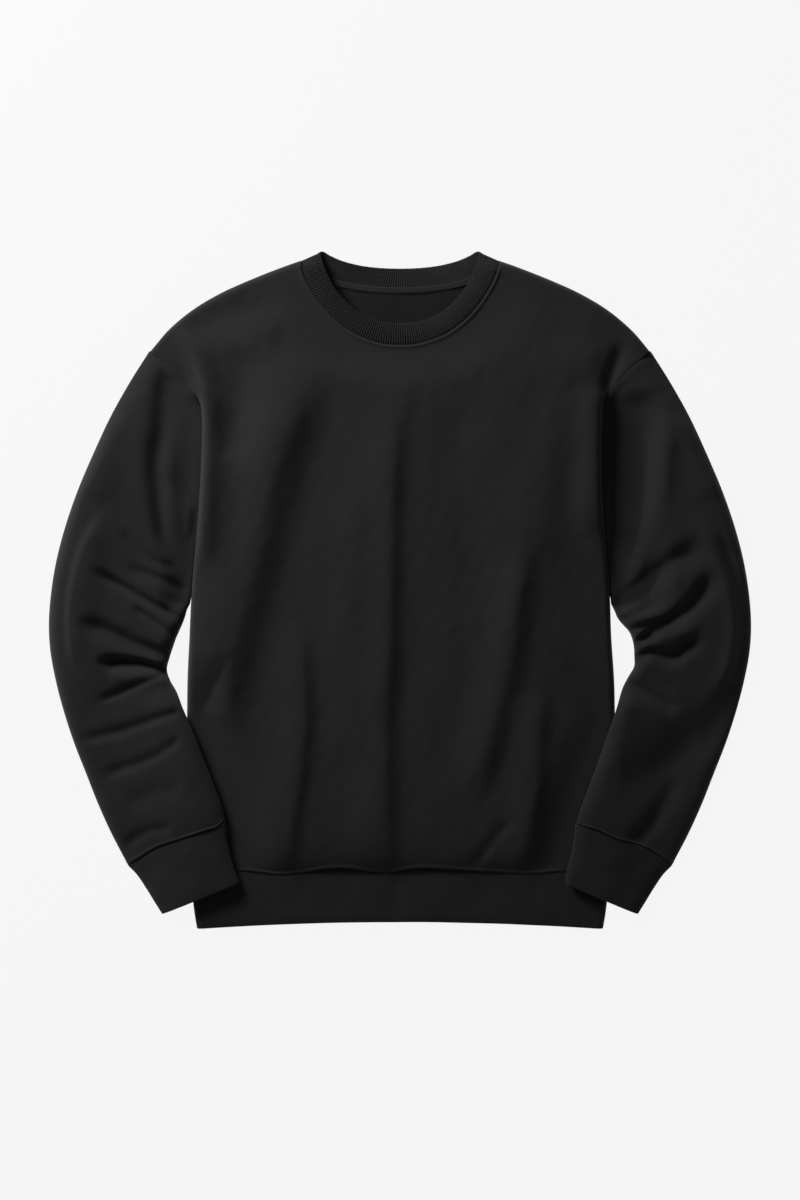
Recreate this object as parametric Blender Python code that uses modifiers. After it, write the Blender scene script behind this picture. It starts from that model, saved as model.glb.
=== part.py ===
"""A crewneck sweatshirt in heavy fleece, laid flat on its back, forearms and cuffs over the hem.

Lengths are in millimetres until wall_object() turns them into metres. +Z is up, the collar points
to +Y, and the wearer's left is +X. Each piece of cloth is a wall: its outer face is a grid of
points worked out from the sizes and tables below, and Solidify gives it its thickness inwards.
"""

import bmesh
import bpy
import numpy as np

# Driving dimensions
METRES = 0.001
FLEECE_WALL = 2.2
RIB_WALL = 2.6
TAPE_WALL = 1.0
SEAM_GAP = 0.3
FOOT_GAP = 0.7
MOUTH_GAP = 0.8
ELBOW_GAP = 0.8
HEM_SEAM_Y = -296.0
HEM_END_Y = -349.0
HEM_CORNER_DROP = 7.5
HEM_SEAM_X = 219.0
HEM_END_X = 213.0
TIP_X, TIP_Y = 262.3, 250.0
TIP_DIAGONAL_Y, TIP_SINE = 205.0, 0.72
NECK_X, NECK_Y = 104.3, 345.3
SHOULDER_COSINE = 0.9

# Heights of the cloth above the surface it lies on
BODY_EDGE_TOP = 14.0
BODY_CROWN = 23.0
ARMHOLE_PUFF = 4.0
NECKLINE_TOP = 13.5
HEM_TOP = 9.8
PRESSED_TOP = 9.8
MOUTH_TOP = 10.5
FOREARM_LIFT = 10.8
BODY_ROLL = 9.0
SLEEVE_ROLL = 15.0
EDGE_RADIUS = 4.6
TUCK = 4.4

# Where one form of the cloth passes into the next: the start and the length of each soft ramp
CROWN_FROM_SIDE = (0.0, 105.0)
CROWN_FROM_SHOULDER = (-12.0, 120.0)
PUFF_FROM_SIDE = (45.0, -35.0)
PUFF_LOW_Y = (5.0, 50.0)
PUFF_HIGH_Y = (240.0, -50.0)
CROWN_FROM_NECK = (0.0, 55.0)
CROWN_FROM_HEM = 16.0
CLEAR_OF_FOREARM = (8.0, 26.0)
ABOVE_FOREARM_Y = (-128.0, 34.0)
SIDE_ON_SLEEVE_Y = (0.0, 24.0)
SHOULDER_EDGE_Y = (180.0, 22.0)
FOREARM_ON_BODY = (20.0, -26.0)
FOREARM_ON_BODY_Y = (-98.0, -28.0)
MOUTH_UNDER_LOW_Y = (46.0, 16.0)
MOUTH_UNDER_HIGH_Y = (195.0, -12.0)
SLEEVE_AT_SHOULDER_Y = (200.0, 14.0)
SLEEVE_BESIDE_BODY = (35.0, -30.0)
SLEEVE_ABOVE_ARMPIT_Y = (-30.0, 20.0)
RIB_FOLD_Y = (318.0, 20.0)
RIB_FOLD_GAP = 0.4

# The side edge of the body, then the armhole seam up to the shoulder tip
BODY_SIDE = {
    "columns": ("y", "x_at_right_arm", "x_at_left_arm"),
    "rows": (
        (-330.0, 217.5, 218.5),
        (-296.0, 219.0, 219.0),
        (-200.0, 223.0, 225.0),
        (-110.0, 223.5, 225.5),
        (-50.0, 221.0, 222.0),
        (0.0, 218.5, 220.0),
        (66.0, 212.5, 214.0),
        (120.0, 209.0, 211.5),
        (172.0, 207.5, 212.0),
        (196.0, 209.5, 213.5),
        (207.5, 217.0, 218.5),
        (218.5, 228.0, 228.5),
        (234.0, 243.5, 244.0),
        (250.0, 262.3, 262.3),
    ),
}
SHOULDER = {
    "columns": ("x", "y"),
    "rows": (
        (60.0, 360.0),
        (104.3, 345.3),
        (131.0, 335.7),
        (162.5, 323.0),
        (190.0, 310.3),
        (218.0, 293.5),
        (243.0, 272.5),
        (262.3, 250.0),
    ),
}
NECKLINE = {
    "columns": ("x", "y"),
    "rows": (
        (0.0, 256.0),
        (16.0, 257.0),
        (32.0, 261.3),
        (50.0, 269.0),
        (68.5, 283.0),
        (82.0, 298.0),
        (92.0, 313.0),
        (99.7, 328.0),
        (104.3, 345.3),
    ),
}

# The sleeve's two edges in plan, from the armhole to the cuff seam, and the height of its top
SLEEVE = {
    "columns": ("outer_x", "outer_y", "right_x", "right_y", "left_x", "left_y", "height"),
    "rows": (
        (263.4, 249.8, 220.5, -15.0, 221.5, -15.0, 14.0),
        (284.0, 217.0, 223.5, -21.0, 225.0, -22.0, 17.0),
        (304.0, 181.0, 225.5, -28.0, 228.5, -30.0, 20.0),
        (322.5, 141.0, 228.0, -35.0, 234.0, -37.0, 22.0),
        (338.5, 103.0, 231.5, -43.0, 240.0, -43.5, 23.0),
        (351.0, 67.0, 235.0, -51.0, 243.5, -51.0, 23.0),
        (360.5, 31.0, 238.5, -61.0, 245.5, -60.0, 23.0),
        (366.3, -4.0, 242.0, -72.0, 246.0, -70.0, 22.0),
        (368.6, -36.0, 244.7, -84.0, 245.7, -81.0, 21.0),
        (367.0, -65.0, 241.0, -96.0, 239.5, -92.0, 20.0),
        (361.5, -95.0, 234.0, -108.0, 233.0, -105.0, 19.0),
        (353.5, -126.0, 226.0, -127.0, 226.0, -126.0, 18.0),
        (342.5, -160.0, 215.5, -150.0, 217.0, -152.0, 17.0),
        (330.0, -192.0, 205.0, -177.0, 207.5, -179.0, 16.0),
        (317.0, -225.0, 195.0, -202.0, 198.0, -205.0, 15.0),
        (302.5, -257.0, 186.5, -226.0, 189.0, -229.0, 13.5),
        (285.5, -289.3, 183.0, -241.0, 184.0, -245.0, 10.5),
    ),
}
# The cuff after its seam, which follows the sleeve's end
CUFF = {
    "columns": ("outer_x", "outer_y", "right_x", "right_y", "left_x", "left_y", "height"),
    "rows": (
        (276.0, -299.0, 181.5, -257.0, 182.0, -262.0, 10.5),
        (266.0, -313.5, 178.0, -276.0, 178.5, -279.0, 10.5),
        (257.5, -327.0, 173.5, -291.0, 174.5, -294.0, 10.5),
        (249.5, -339.4, 168.0, -306.0, 173.0, -307.0, 10.0),
    ),
}
FOREARM_OVER_BODY = {
    "columns": ("y", "x"),
    "rows": ((-306.0, 168.0), (-241.0, 183.0), (-132.0, 224.0)),
}
# The back neck seam and the free edge of the neck rib, from the side fold to the middle of the back
BACK_NECK = {
    "columns": ("x", "y"),
    "rows": (
        (101.3, 342.3),
        (96.0, 337.0),
        (84.0, 327.5),
        (68.0, 320.0),
        (46.0, 315.3),
        (23.0, 312.8),
        (0.0, 312.0),
    ),
}
# The rib's free edge: a row for each point of the front neck seam, the side fold and the back seam
RIB_EDGE = {
    "columns": ("x", "y", "z"),
    "rows": (
        (0.0, 279.0, 15.0),
        (16.0, 280.0, 15.0),
        (31.0, 284.3, 15.0),
        (45.0, 291.8, 15.0),
        (57.5, 303.0, 14.8),
        (67.5, 315.3, 14.5),
        (74.5, 327.5, 14.0),
        (79.8, 341.0, 12.4),
        (83.2, 352.0, 8.4),
        (81.0, 355.8, 2.8),
        (72.0, 350.6, 0.0),
        (60.0, 345.5, 0.0),
        (44.0, 341.3, 0.0),
        (30.0, 339.2, 0.0),
        (15.0, 338.0, 0.0),
        (0.0, 337.6, 0.0),
    ),
}

# The largest folds along a path of (x, y) points: a trough, or a ridge where the depth is negative
BODY_FOLDS = {
    "columns": ("width", "depth", "path"),
    "rows": (
        (24.0, -6.0, ((-88, 235), (-131, 136), (-152, 41), (-182, -80))),
        (16.0, -5.0, ((8, 218), (-9, 100), (-12, -20), (-18, -150), (-15, -300))),
        (14.0, -4.0, ((-102, -60), (-101, -137), (-112, -235), (-118, -300))),
        (16.0, -5.0, ((142, 30), (126, -75), (100, -160), (82, -225))),
        (14.0, -4.0, ((146, -110), (142, -190), (133, -300))),
    ),
}
RIGHT_SLEEVE_FOLDS = {
    "columns": ("width", "depth", "path"),
    "rows": (
        (14.0, 6.0, ((-262, 195), (-256, 140), (-250, 90), (-236, 45))),
        (10.0, 4.5, ((-310, 22), (-268, 2), (-231, -25))),
        (12.0, 6.5, ((-316, -70), (-282, -72), (-244, -82))),
        (13.0, 4.0, ((-330, -145), (-275, -140), (-232, -118))),
    ),
}
LEFT_SLEEVE_FOLDS = {
    "columns": ("width", "depth", "path"),
    "rows": (
        (14.0, 6.0, ((272, 190), (264, 100), (240, 40))),
        (12.0, 6.5, ((252, -52), (290, -30), (318, 0))),
        (11.0, 6.0, ((249, -72), (282, -68), (314, -57))),
        (24.0, 4.0, ((340, -100), (296, -145), (238, -182))),
    ),
}

# Counts and spacings of the points; the shares are of the front's width or height
ROLL_STEPS = (0.0, 0.07, 0.35, 1.0)
HEM_STEPS = (0.0, 0.012, 0.035)
FRONT_LOW, FRONT_ROWS = 0.07, 22
SHOULDER_COLUMNS, HEM_COLUMNS = 7, 16
NECK_POINTS = 9
SIDE_REACH = 0.24
MOUTH_STEPS = (0.0, 0.3, 0.7)
SLEEVE_FROM, SLEEVE_RINGS = 1.1, 30
ELBOW_RING = 19
MOUTH_CORNER = 1 / 60
BELOW_CROSSING = (19.0, 7.0, -3.0)
NECK_RIBS = 224
RIB_RELIEF = 0.5
FLEECE = ("fleece", (0.0135, 0.0130, 0.0137), 0.9)
RIB = ("rib_knit", (0.0115, 0.0110, 0.0117), 0.88)
TAPE = ("neck_tape", (0.019, 0.018, 0.019), 0.8)


def smooth(value):
    """0 below 0, 1 above 1, and a soft ramp between."""
    held = np.clip(value, 0.0, 1.0)
    return held * held * (3.0 - 2.0 * held)


def ramp(value, start_and_length):
    """A soft ramp from 0 at its start to 1 past its length; a negative length runs the other way."""
    start, length = start_and_length
    return smooth((value - start) / length)


def rounded(value):
    """The height of a quarter circle, from 0 at its foot to 1 where it meets the flat."""
    return np.sqrt(1.0 - (1.0 - np.clip(value, 0.0, 1.0)) ** 2)


def mix(first, second, share):
    return first + (second - first) * share


def through(table, places):
    """Points on a smooth curve through the table's rows, at places counted in rows."""
    rows = np.asarray(table["rows"], float)
    ends = np.vstack([2 * rows[0] - rows[1], rows, 2 * rows[-1] - rows[-2]])
    row = np.clip(np.floor(places).astype(int), 0, len(rows) - 2)
    t = (places - row)[:, None]
    a, b, c, d = (ends[row + k] for k in range(4))
    return 0.5 * (2 * b + (c - a) * t + (2 * a - 5 * b + 4 * c - d) * t**2 + (3 * (b - c) - a + d) * t**3)


def whole_table(table, count):
    return through(table, np.linspace(0, len(table["rows"]) - 1, count))


def looked_up(table, key, value, at):
    """The table's value column where its key column has the given values."""
    curve = whole_table(table, 240)
    keys = curve[:, table["columns"].index(key)]
    return np.interp(at, keys, curve[:, table["columns"].index(value)])


def fold_depth(x, y, folds):
    """How far the folds lower the cloth at x, y; ridges raise it. Each fades out towards its ends."""
    total = np.zeros(np.broadcast(x, y).shape)
    for width, depth, path in folds["rows"]:
        points = np.asarray(path, float)
        steps = np.hypot(*np.diff(points, axis=0).T)
        along = np.concatenate([[0.0], np.cumsum(steps)]) / steps.sum()
        nearest, place = np.full(total.shape, np.inf), np.zeros(total.shape)
        for k, (start, end) in enumerate(zip(points[:-1], points[1:])):
            run = end - start
            t = np.clip(((x - start[0]) * run[0] + (y - start[1]) * run[1]) / (run @ run), 0, 1)
            away = np.hypot(x - start[0] - t * run[0], y - start[1] - t * run[1])
            place = np.where(away < nearest, mix(along[k], along[k + 1], t), place)
            nearest = np.minimum(nearest, away)
        ends = smooth(np.minimum(place, 1 - place) / 0.3 + 0.15)
        total += depth * ends * np.exp(-((nearest / width) ** 2))
    return total


def body_edge_x(x, y):
    """The body's half width at y, on the side that x is on."""
    right = looked_up(BODY_SIDE, "y", "x_at_right_arm", y)
    left = looked_up(BODY_SIDE, "y", "x_at_left_arm", y)
    return np.where(np.asarray(x) < 0, right, left)


def shoulder_y(x):
    return looked_up(SHOULDER, "x", "y", np.abs(x))


def below_shoulder(x, y):
    """The distance square to the sloping shoulder seam."""
    return SHOULDER_COSINE * (shoulder_y(x) - y)


def outside_neck(x, y):
    """Roughly the distance outside the oval of the front neck seam."""
    depth = NECK_Y - NECKLINE["rows"][0][1]
    return (NECK_X + depth) / 2 * (np.hypot(x / NECK_X, (NECK_Y - y) / depth) - 1)


def forearm_edge_x(y):
    """The half width at which the forearm and cuff start to cover the body."""
    return np.interp(y, *zip(*FOREARM_OVER_BODY["rows"]))


def front_height(x, y):
    """The front's outer face, before its edges roll down."""
    inside = body_edge_x(x, y) - np.abs(x)
    above_hem = np.clip(y - HEM_SEAM_Y, 0, None)
    crown = ramp(inside, CROWN_FROM_SIDE) * ramp(below_shoulder(x, y), CROWN_FROM_SHOULDER)
    puff = ramp(y, PUFF_LOW_Y) * ramp(y, PUFF_HIGH_Y) * ramp(inside, PUFF_FROM_SIDE)
    height = mix(BODY_EDGE_TOP, BODY_CROWN, crown) + ARMHOLE_PUFF * puff
    height = height - fold_depth(x, y, BODY_FOLDS)
    height = mix(NECKLINE_TOP, height, ramp(outside_neck(x, y), CROWN_FROM_NECK))
    height = mix(HEM_TOP, height, 1 - np.exp(-above_hem / CROWN_FROM_HEM))
    clear_of_forearm = ramp(forearm_edge_x(y) - np.abs(x), CLEAR_OF_FOREARM)
    uncovered = np.maximum(clear_of_forearm, ramp(y, ABOVE_FOREARM_Y))
    return mix(np.minimum(height, PRESSED_TOP), height, uncovered)


def front_top(x, y):
    """The front's outer face with its shoulder and side edges rolled down to what they are sewn to."""
    foot = FLEECE_WALL + FOOT_GAP
    height = mix(foot, front_height(x, y), rounded(below_shoulder(x, y) / BODY_ROLL))
    side_foot = mix(foot, MOUTH_TOP + FOOT_GAP, ramp(y, SIDE_ON_SLEEVE_Y))
    inside = body_edge_x(x, y) - np.abs(x)
    rolled = mix(side_foot, height, rounded(inside / BODY_ROLL))
    return mix(rolled, height, ramp(y, SHOULDER_EDGE_Y))


def mirrored(half):
    """Half of a row of values, from the outside to the middle, carried on to the other side."""
    half = np.asarray(half)
    return np.concatenate([-half, half[-2::-1]])


def front_neck():
    """The points of the front neck seam, from the shoulder to the middle."""
    x = NECK_X * np.cos(np.linspace(0, np.pi / 2, NECK_POINTS))
    return x, looked_up(NECKLINE, "x", "y", x)


def front_grid():
    """The front panel between its side seams, hem seam, armholes, shoulders and neckline."""
    steps = np.array(ROLL_STEPS) * BODY_ROLL
    shoulder = np.linspace(TIP_X - BODY_ROLL, NECK_X + BODY_ROLL, SHOULDER_COLUMNS)[1:]
    neck_x, neck_y = front_neck()
    top_x = mirrored(np.concatenate([TIP_X - steps, shoulder, neck_x]))
    across_hem = np.linspace(HEM_SEAM_X - BODY_ROLL, 0, HEM_COLUMNS)[1:]
    bottom_x = mirrored(np.concatenate([HEM_SEAM_X - steps, across_hem]))
    on_neck = np.interp(np.abs(top_x), neck_x[::-1], neck_y[::-1])
    top_y = np.where(np.abs(top_x) < NECK_X, on_neck, shoulder_y(top_x))
    roll_rows = 1 - np.array(ROLL_STEPS[::-1]) * BODY_ROLL / (TIP_Y - HEM_SEAM_Y)
    between = np.linspace(FRONT_LOW, roll_rows[0], FRONT_ROWS)
    v = np.concatenate([HEM_STEPS, between, roll_rows[1:]])[:, None]
    u = ((bottom_x + HEM_SEAM_X) / (2 * HEM_SEAM_X))[None, :]
    x = mix(bottom_x, top_x, v)
    y = mix(HEM_SEAM_Y + SEAM_GAP, top_y, v)
    side_y = mix(HEM_SEAM_Y + SEAM_GAP, TIP_Y, v)
    straight_x = mix(HEM_SEAM_X, TIP_X, v)
    near_right, near_left = (np.clip(1 - share / SIDE_REACH, 0, 1) for share in (u, 1 - u))
    x += near_right * (straight_x - body_edge_x(-1, side_y))
    x -= near_left * (straight_x - body_edge_x(1, side_y))
    return np.dstack([x, y, front_top(x, y)])


def lift(x, y):
    """How high the body's edge holds a forearm or a cuff off the surface."""
    outside = np.abs(x) - body_edge_x(x, y)
    return FOREARM_LIFT * ramp(outside, FOREARM_ON_BODY) * ramp(y, FOREARM_ON_BODY_Y)


def tube_shares(width, crossing, top_count):
    """Shares of the width at which a flattened tube has its points: over its top, then back below.

    The underside has three points about the crossing, where the body's edge starts to hold it up.
    """
    top = (1 - np.cos(np.linspace(0, np.pi, top_count))) / 2
    corner = EDGE_RADIUS / width
    held = np.clip(crossing, 0.1, 0.5) + np.array(BELOW_CROSSING) / width
    return top, np.concatenate([[1 - 0.3 * corner, 1 - corner, 0.81], held, [corner, 0.3 * corner]])


def under_roll(share, width):
    """How far the underside of a flattened tube rises at its edges."""
    from_edge = np.minimum(share, 1 - share) * width
    return EDGE_RADIUS * (1 - rounded(from_edge / EDGE_RADIUS))


def tube_rows(table, side, places):
    """The outer edge, inner edge and height at each place; side is -1 at the right arm, 1 at the left."""
    rows = through(table, places)
    name = "right" if side < 0 else "left"
    column = table["columns"].index
    outer = rows[:, [column("outer_x"), column("outer_y")]]
    inner = rows[:, [column(name + "_x"), column(name + "_y")]]
    return outer, inner, rows[:, column("height")]


def tube_ring(outer, inner, side, top_count):
    """One ring in plan: the shares of its points, their x and y, its width, and which are its top."""
    width = np.hypot(*(outer - inner))
    crossing = (body_edge_x(side, inner[1]) - inner[0]) / (outer[0] - inner[0])
    top, low = tube_shares(width, crossing, top_count)
    share = np.concatenate([top, low])
    x, y = (mix(inner[i], outer[i], share) for i in (0, 1))
    return share, x, y, width, np.arange(len(share)) < top_count


def sleeve_grid(side, folds, top_count=15):
    """A flattened tube from the armhole, where its mouth follows the seam, to the cuff."""
    places = np.concatenate([MOUTH_STEPS, np.linspace(SLEEVE_FROM, len(SLEEVE["rows"]) - 1, SLEEVE_RINGS)])
    outer, inner, heights = tube_rows(SLEEVE, side, places)
    rings = []
    for place, out, inn, height in zip(places, outer, inner, heights):
        share, x, y, width, is_top = tube_ring(out, inn, side, top_count)
        mouth_y = mix(inner[0][1], outer[0][1], share)
        mouth_line = mix(inner[0][0], outer[0][0], share)
        from_edge = np.minimum(share, 1 - share)
        bow = mouth_line - body_edge_x(side, mouth_y) - MOUTH_GAP
        bow *= ramp(place, (4, -4)) * np.sin(np.pi / 2 * np.clip(from_edge / MOUTH_CORNER, 0, 1))
        tuck = TUCK * ramp(mouth_y, MOUTH_UNDER_LOW_Y) * ramp(mouth_y, MOUTH_UNDER_HIGH_Y)
        x = x - bow - np.where(is_top, tuck * ramp(place, (0.7, -0.7)), 0)
        outside = (x - body_edge_x(side, y)) * np.where(y > TIP_DIAGONAL_Y, TIP_SINE, 1)
        seam_y = np.clip(y, None, TIP_Y)
        flush = front_top(side * body_edge_x(side, seam_y), seam_y)
        beside_body = mix(MOUTH_TOP, flush, ramp(y, SLEEVE_AT_SHOULDER_Y))
        free = height - fold_depth(side * x, y, folds)
        near = ramp(outside, SLEEVE_BESIDE_BODY) * ramp(y, SLEEVE_ABOVE_ARMPIT_Y)
        roll = rounded(from_edge * width / SLEEVE_ROLL)
        z_top = mix(EDGE_RADIUS, mix(free, beside_body, near), roll)
        z = np.where(is_top, z_top, under_roll(share, width)) + lift(side * x, y)
        rings.append(np.column_stack([side * x, y, z]))
    return np.array(rings)


def parted_at_elbow(rings):
    """The sleeve's rings as two tubes, which meet a narrow gap apart just below the elbow."""
    onward = (rings[ELBOW_RING + 1] - rings[ELBOW_RING]).mean(axis=0)
    lower = rings[ELBOW_RING:].copy()
    lower[0] += onward / np.linalg.norm(onward) * ELBOW_GAP
    return rings[: ELBOW_RING + 1], lower


def cuff_grid(side, top_count=12):
    """The cuff, a shorter tube that starts just past the sleeve's last ring."""
    sleeve_outer, sleeve_inner, _ = tube_rows(SLEEVE, side, np.array([len(SLEEVE["rows"]) - 1.0]))
    outer, inner, heights = tube_rows(CUFF, side, np.linspace(0, len(CUFF["rows"]) - 1, 5))
    across = sleeve_outer[0] - sleeve_inner[0]
    onward = np.array([across[1], -across[0]]) / np.hypot(*across) * MOUTH_GAP
    outer = np.vstack([sleeve_outer + onward, outer])
    inner = np.vstack([sleeve_inner + onward, inner])
    rings = []
    for out, inn, height in zip(outer, inner, np.append(heights[0], heights)):
        share, x, y, width, is_top = tube_ring(out, inn, side, top_count)
        roll = rounded(np.minimum(share, 1 - share) * width / SLEEVE_ROLL)
        z = np.where(is_top, mix(EDGE_RADIUS, height, roll), under_roll(share, width))
        rings.append(np.column_stack([side * x, y, z + lift(side * x, y)]))
    return np.array(rings)


def hem_grid(rows=4, top_count=24):
    """The hem rib, a flattened tube whose lower edge hangs a little at its two corners."""
    rings = []
    for down in np.linspace(0, 1, rows):
        half = mix(HEM_SEAM_X, HEM_END_X, down**2)
        top, low = tube_shares(2 * half, 0.4, top_count)
        share = np.concatenate([top, low])
        x = half * (2 * share - 1)
        y = mix(HEM_SEAM_Y - SEAM_GAP / 2, HEM_END_Y, down) - HEM_CORNER_DROP * down * (x / half) ** 2
        roll = rounded(np.minimum(share, 1 - share) * 2 * half / BODY_ROLL)
        is_top = np.arange(len(share)) < top_count
        z = np.where(is_top, mix(EDGE_RADIUS, HEM_TOP, roll), under_roll(share, 2 * half))
        rings.append(np.column_stack([x, y, z]))
    return np.array(rings)


def back_neck():
    rows = np.asarray(BACK_NECK["rows"])
    return rows[:, 0], rows[:, 1]


def rib_seam():
    """The rib's seam edge, from the middle of the front to the middle of the back, just inside the panels."""
    front_x, front_y = (values[::-1] for values in front_neck())
    back_x, back_y = back_neck()
    seam = []
    for x, y, z in ((front_x, front_y, front_top(front_x, front_y)), (back_x, back_y, 0 * back_x)):
        slope = np.gradient(y, x)
        slope[np.abs(x) < 1] = 0
        gap = (SEAM_GAP + RIB_FOLD_GAP * ramp(y, RIB_FOLD_Y)) / np.hypot(1, slope)
        seam.append(np.column_stack([x - gap * slope, y + gap, z]))
    return np.vstack(seam)


def neck_rib_grid(across=3):
    """The neck rib all the way round, with two stations to each of its ribs.

    Its seam edge has the panels' own straight stretches, and its free edge is smooth.
    """
    seam_points = rib_seam()
    last = len(seam_points) - 1

    def edges(places):
        seam = np.column_stack([np.interp(places, range(last + 1), seam_points[:, i]) for i in range(3)])
        edge = through(RIB_EDGE, places)
        edge[:, 2] = np.clip(edge[:, 2], 0, None)
        return seam, edge

    fine = np.linspace(0, last, 400)
    middle = mix(*edges(fine), 0.5)
    length = np.concatenate([[0], np.cumsum(np.linalg.norm(np.diff(middle, axis=0), axis=1))])
    places = np.interp(np.linspace(0, length[-1], NECK_RIBS + 1), length, fine)
    seam, edge = edges(places)
    half = [mix(seam, edge, share) for share in np.linspace(0, 1, across)]
    return np.array([np.vstack([row, (row * [-1, 1, 1])[-2:0:-1]]) for row in half])


def tape_grid():
    """The tape that covers the back neck seam, on the inner face of the rib."""
    seam = np.column_stack(back_neck())[2:]
    edge = np.asarray(RIB_EDGE["rows"])[-len(seam) :, :2]
    rows = []
    for share in (0.04, 0.3):
        half = mix(seam, edge, share)
        row = np.vstack([half * [-1, 1], half[-2::-1]])
        rows.append(np.column_stack([row, np.full(len(row), RIB_WALL + SEAM_GAP + TAPE_WALL)]))
    return np.array(rows)


def cloth_material(finish):
    name, colour, roughness = finish
    found = bpy.data.materials.get(name)
    if found:
        return found
    material = bpy.data.materials.new(name)
    material.use_nodes = True
    shader = material.node_tree.nodes["Principled BSDF"]
    shader.inputs["Base Color"].default_value = (*colour, 1.0)
    shader.inputs["Roughness"].default_value = roughness
    shader.inputs["Metallic"].default_value = 0.0
    material.diffuse_color = (*colour, 1.0)
    return material


def grid_faces(rows, columns, closed, start=0):
    """The corners of the quads between neighbouring points of a grid, whose points count from start."""
    faces = []
    for r in range(rows - 1):
        for c in range(columns if closed else columns - 1):
            low, high = start + r * columns, start + (r + 1) * columns
            n = (c + 1) % columns
            faces.append([low + c, low + n, high + n, high + c])
    return faces


def mesh_object(name, points, faces, finish):
    mesh_bm = bmesh.new()
    verts = [mesh_bm.verts.new(point * METRES) for point in points]
    for corners in faces:
        mesh_bm.faces.new([verts[i] for i in corners])
    mesh = bpy.data.meshes.new(name)
    mesh_bm.to_mesh(mesh)
    mesh_bm.free()
    mesh.shade_smooth()
    mesh.materials.append(cloth_material(finish))
    return bpy.data.objects.new(name, mesh)


def wall_object(name, grid, wall, finish, closed=False):
    """A wall whose outer face is the grid; closed joins its last column to its first."""
    faces = grid_faces(*grid.shape[:2], closed)
    obj = mesh_object(name, grid.reshape(-1, 3), faces, finish)
    solidify = obj.modifiers.new("wall", "SOLIDIFY")
    solidify.thickness = wall * METRES
    solidify.offset = -1.0
    return obj


def ribbed_object(name, grid, wall, finish):
    """A closed band of rib knit: every other station of its outer face is sunk, its inner face is plain."""
    rows, columns = grid.shape[:2]
    along = np.roll(grid, -1, axis=1) - np.roll(grid, 1, axis=1)
    across = np.gradient(grid, axis=0)
    normal = np.cross(along, across)
    normal /= np.linalg.norm(normal, axis=2, keepdims=True)
    groove = RIB_RELIEF * (np.arange(columns) % 2)[None, :, None]
    points = np.concatenate([(grid - groove * normal).reshape(-1, 3), (grid - wall * normal).reshape(-1, 3)])
    inner = rows * columns
    faces = grid_faces(rows, columns, True)
    faces += [corners[::-1] for corners in grid_faces(rows, columns, True, inner)]
    for c in range(columns):
        n = (c + 1) % columns
        end = (rows - 1) * columns
        faces.append([n, c, inner + c, inner + n])
        faces.append([end + c, end + n, inner + end + n, inner + end + c])
    return mesh_object(name, points, faces, finish)


def back_panel():
    """The flat back, cut to the front's sides, armholes and shoulders but with its own neckline."""
    side_y = np.concatenate([np.linspace(HEM_SEAM_Y + SEAM_GAP, 180, 20), np.linspace(192, TIP_Y, 9)])
    shoulder_x = np.linspace(TIP_X, NECK_X, 9)[1:]
    neck = np.column_stack(back_neck())
    outline = []
    for side in (1, -1):
        sides = np.column_stack([side * body_edge_x(side, side_y), side_y])
        shoulders = np.column_stack([side * shoulder_x, shoulder_y(shoulder_x)])
        half = np.vstack([sides, shoulders, neck * [side, 1]])
        outline.append(half if side > 0 else half[::-1])
    points = np.vstack(outline)
    curve = bpy.data.curves.new("back_panel", "CURVE")
    curve.dimensions = "2D"
    curve.fill_mode = "BOTH"
    curve.extrude = FLEECE_WALL / 2 * METRES
    spline = curve.splines.new("POLY")
    spline.points.add(len(points) - 1)
    for point, (x, y) in zip(spline.points, points):
        point.co = (x * METRES, y * METRES, 0, 1)
    spline.use_cyclic_u = True
    curve.materials.append(cloth_material(FLEECE))
    obj = bpy.data.objects.new("back_panel", curve)
    obj.location.z = FLEECE_WALL / 2 * METRES
    return obj


def main():
    for obj in list(bpy.data.objects):
        bpy.data.objects.remove(obj)
    garment = bpy.data.collections.new("crewneck_sweatshirt")
    bpy.context.scene.collection.children.link(garment)
    right_upper, right_lower = parted_at_elbow(sleeve_grid(-1, RIGHT_SLEEVE_FOLDS))
    left_upper, left_lower = parted_at_elbow(sleeve_grid(1, LEFT_SLEEVE_FOLDS)[:, ::-1])
    pieces = [
        back_panel(),
        wall_object("front_panel", front_grid(), FLEECE_WALL, FLEECE),
        wall_object("sleeve_right_upper", right_upper, FLEECE_WALL, FLEECE, closed=True),
        wall_object("sleeve_right_lower", right_lower, FLEECE_WALL, FLEECE, closed=True),
        wall_object("sleeve_left_upper", left_upper, FLEECE_WALL, FLEECE, closed=True),
        wall_object("sleeve_left_lower", left_lower, FLEECE_WALL, FLEECE, closed=True),
        wall_object("cuff_right", cuff_grid(-1), RIB_WALL, RIB, closed=True),
        wall_object("cuff_left", cuff_grid(1)[:, ::-1], RIB_WALL, RIB, closed=True),
        wall_object("hem_band", hem_grid()[:, ::-1], RIB_WALL, RIB, closed=True),
        ribbed_object("neck_rib", neck_rib_grid(), RIB_WALL, RIB),
        wall_object("back_neck_tape", tape_grid(), TAPE_WALL, TAPE),
    ]
    for piece in pieces:
        garment.objects.link(piece)


main()
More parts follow.
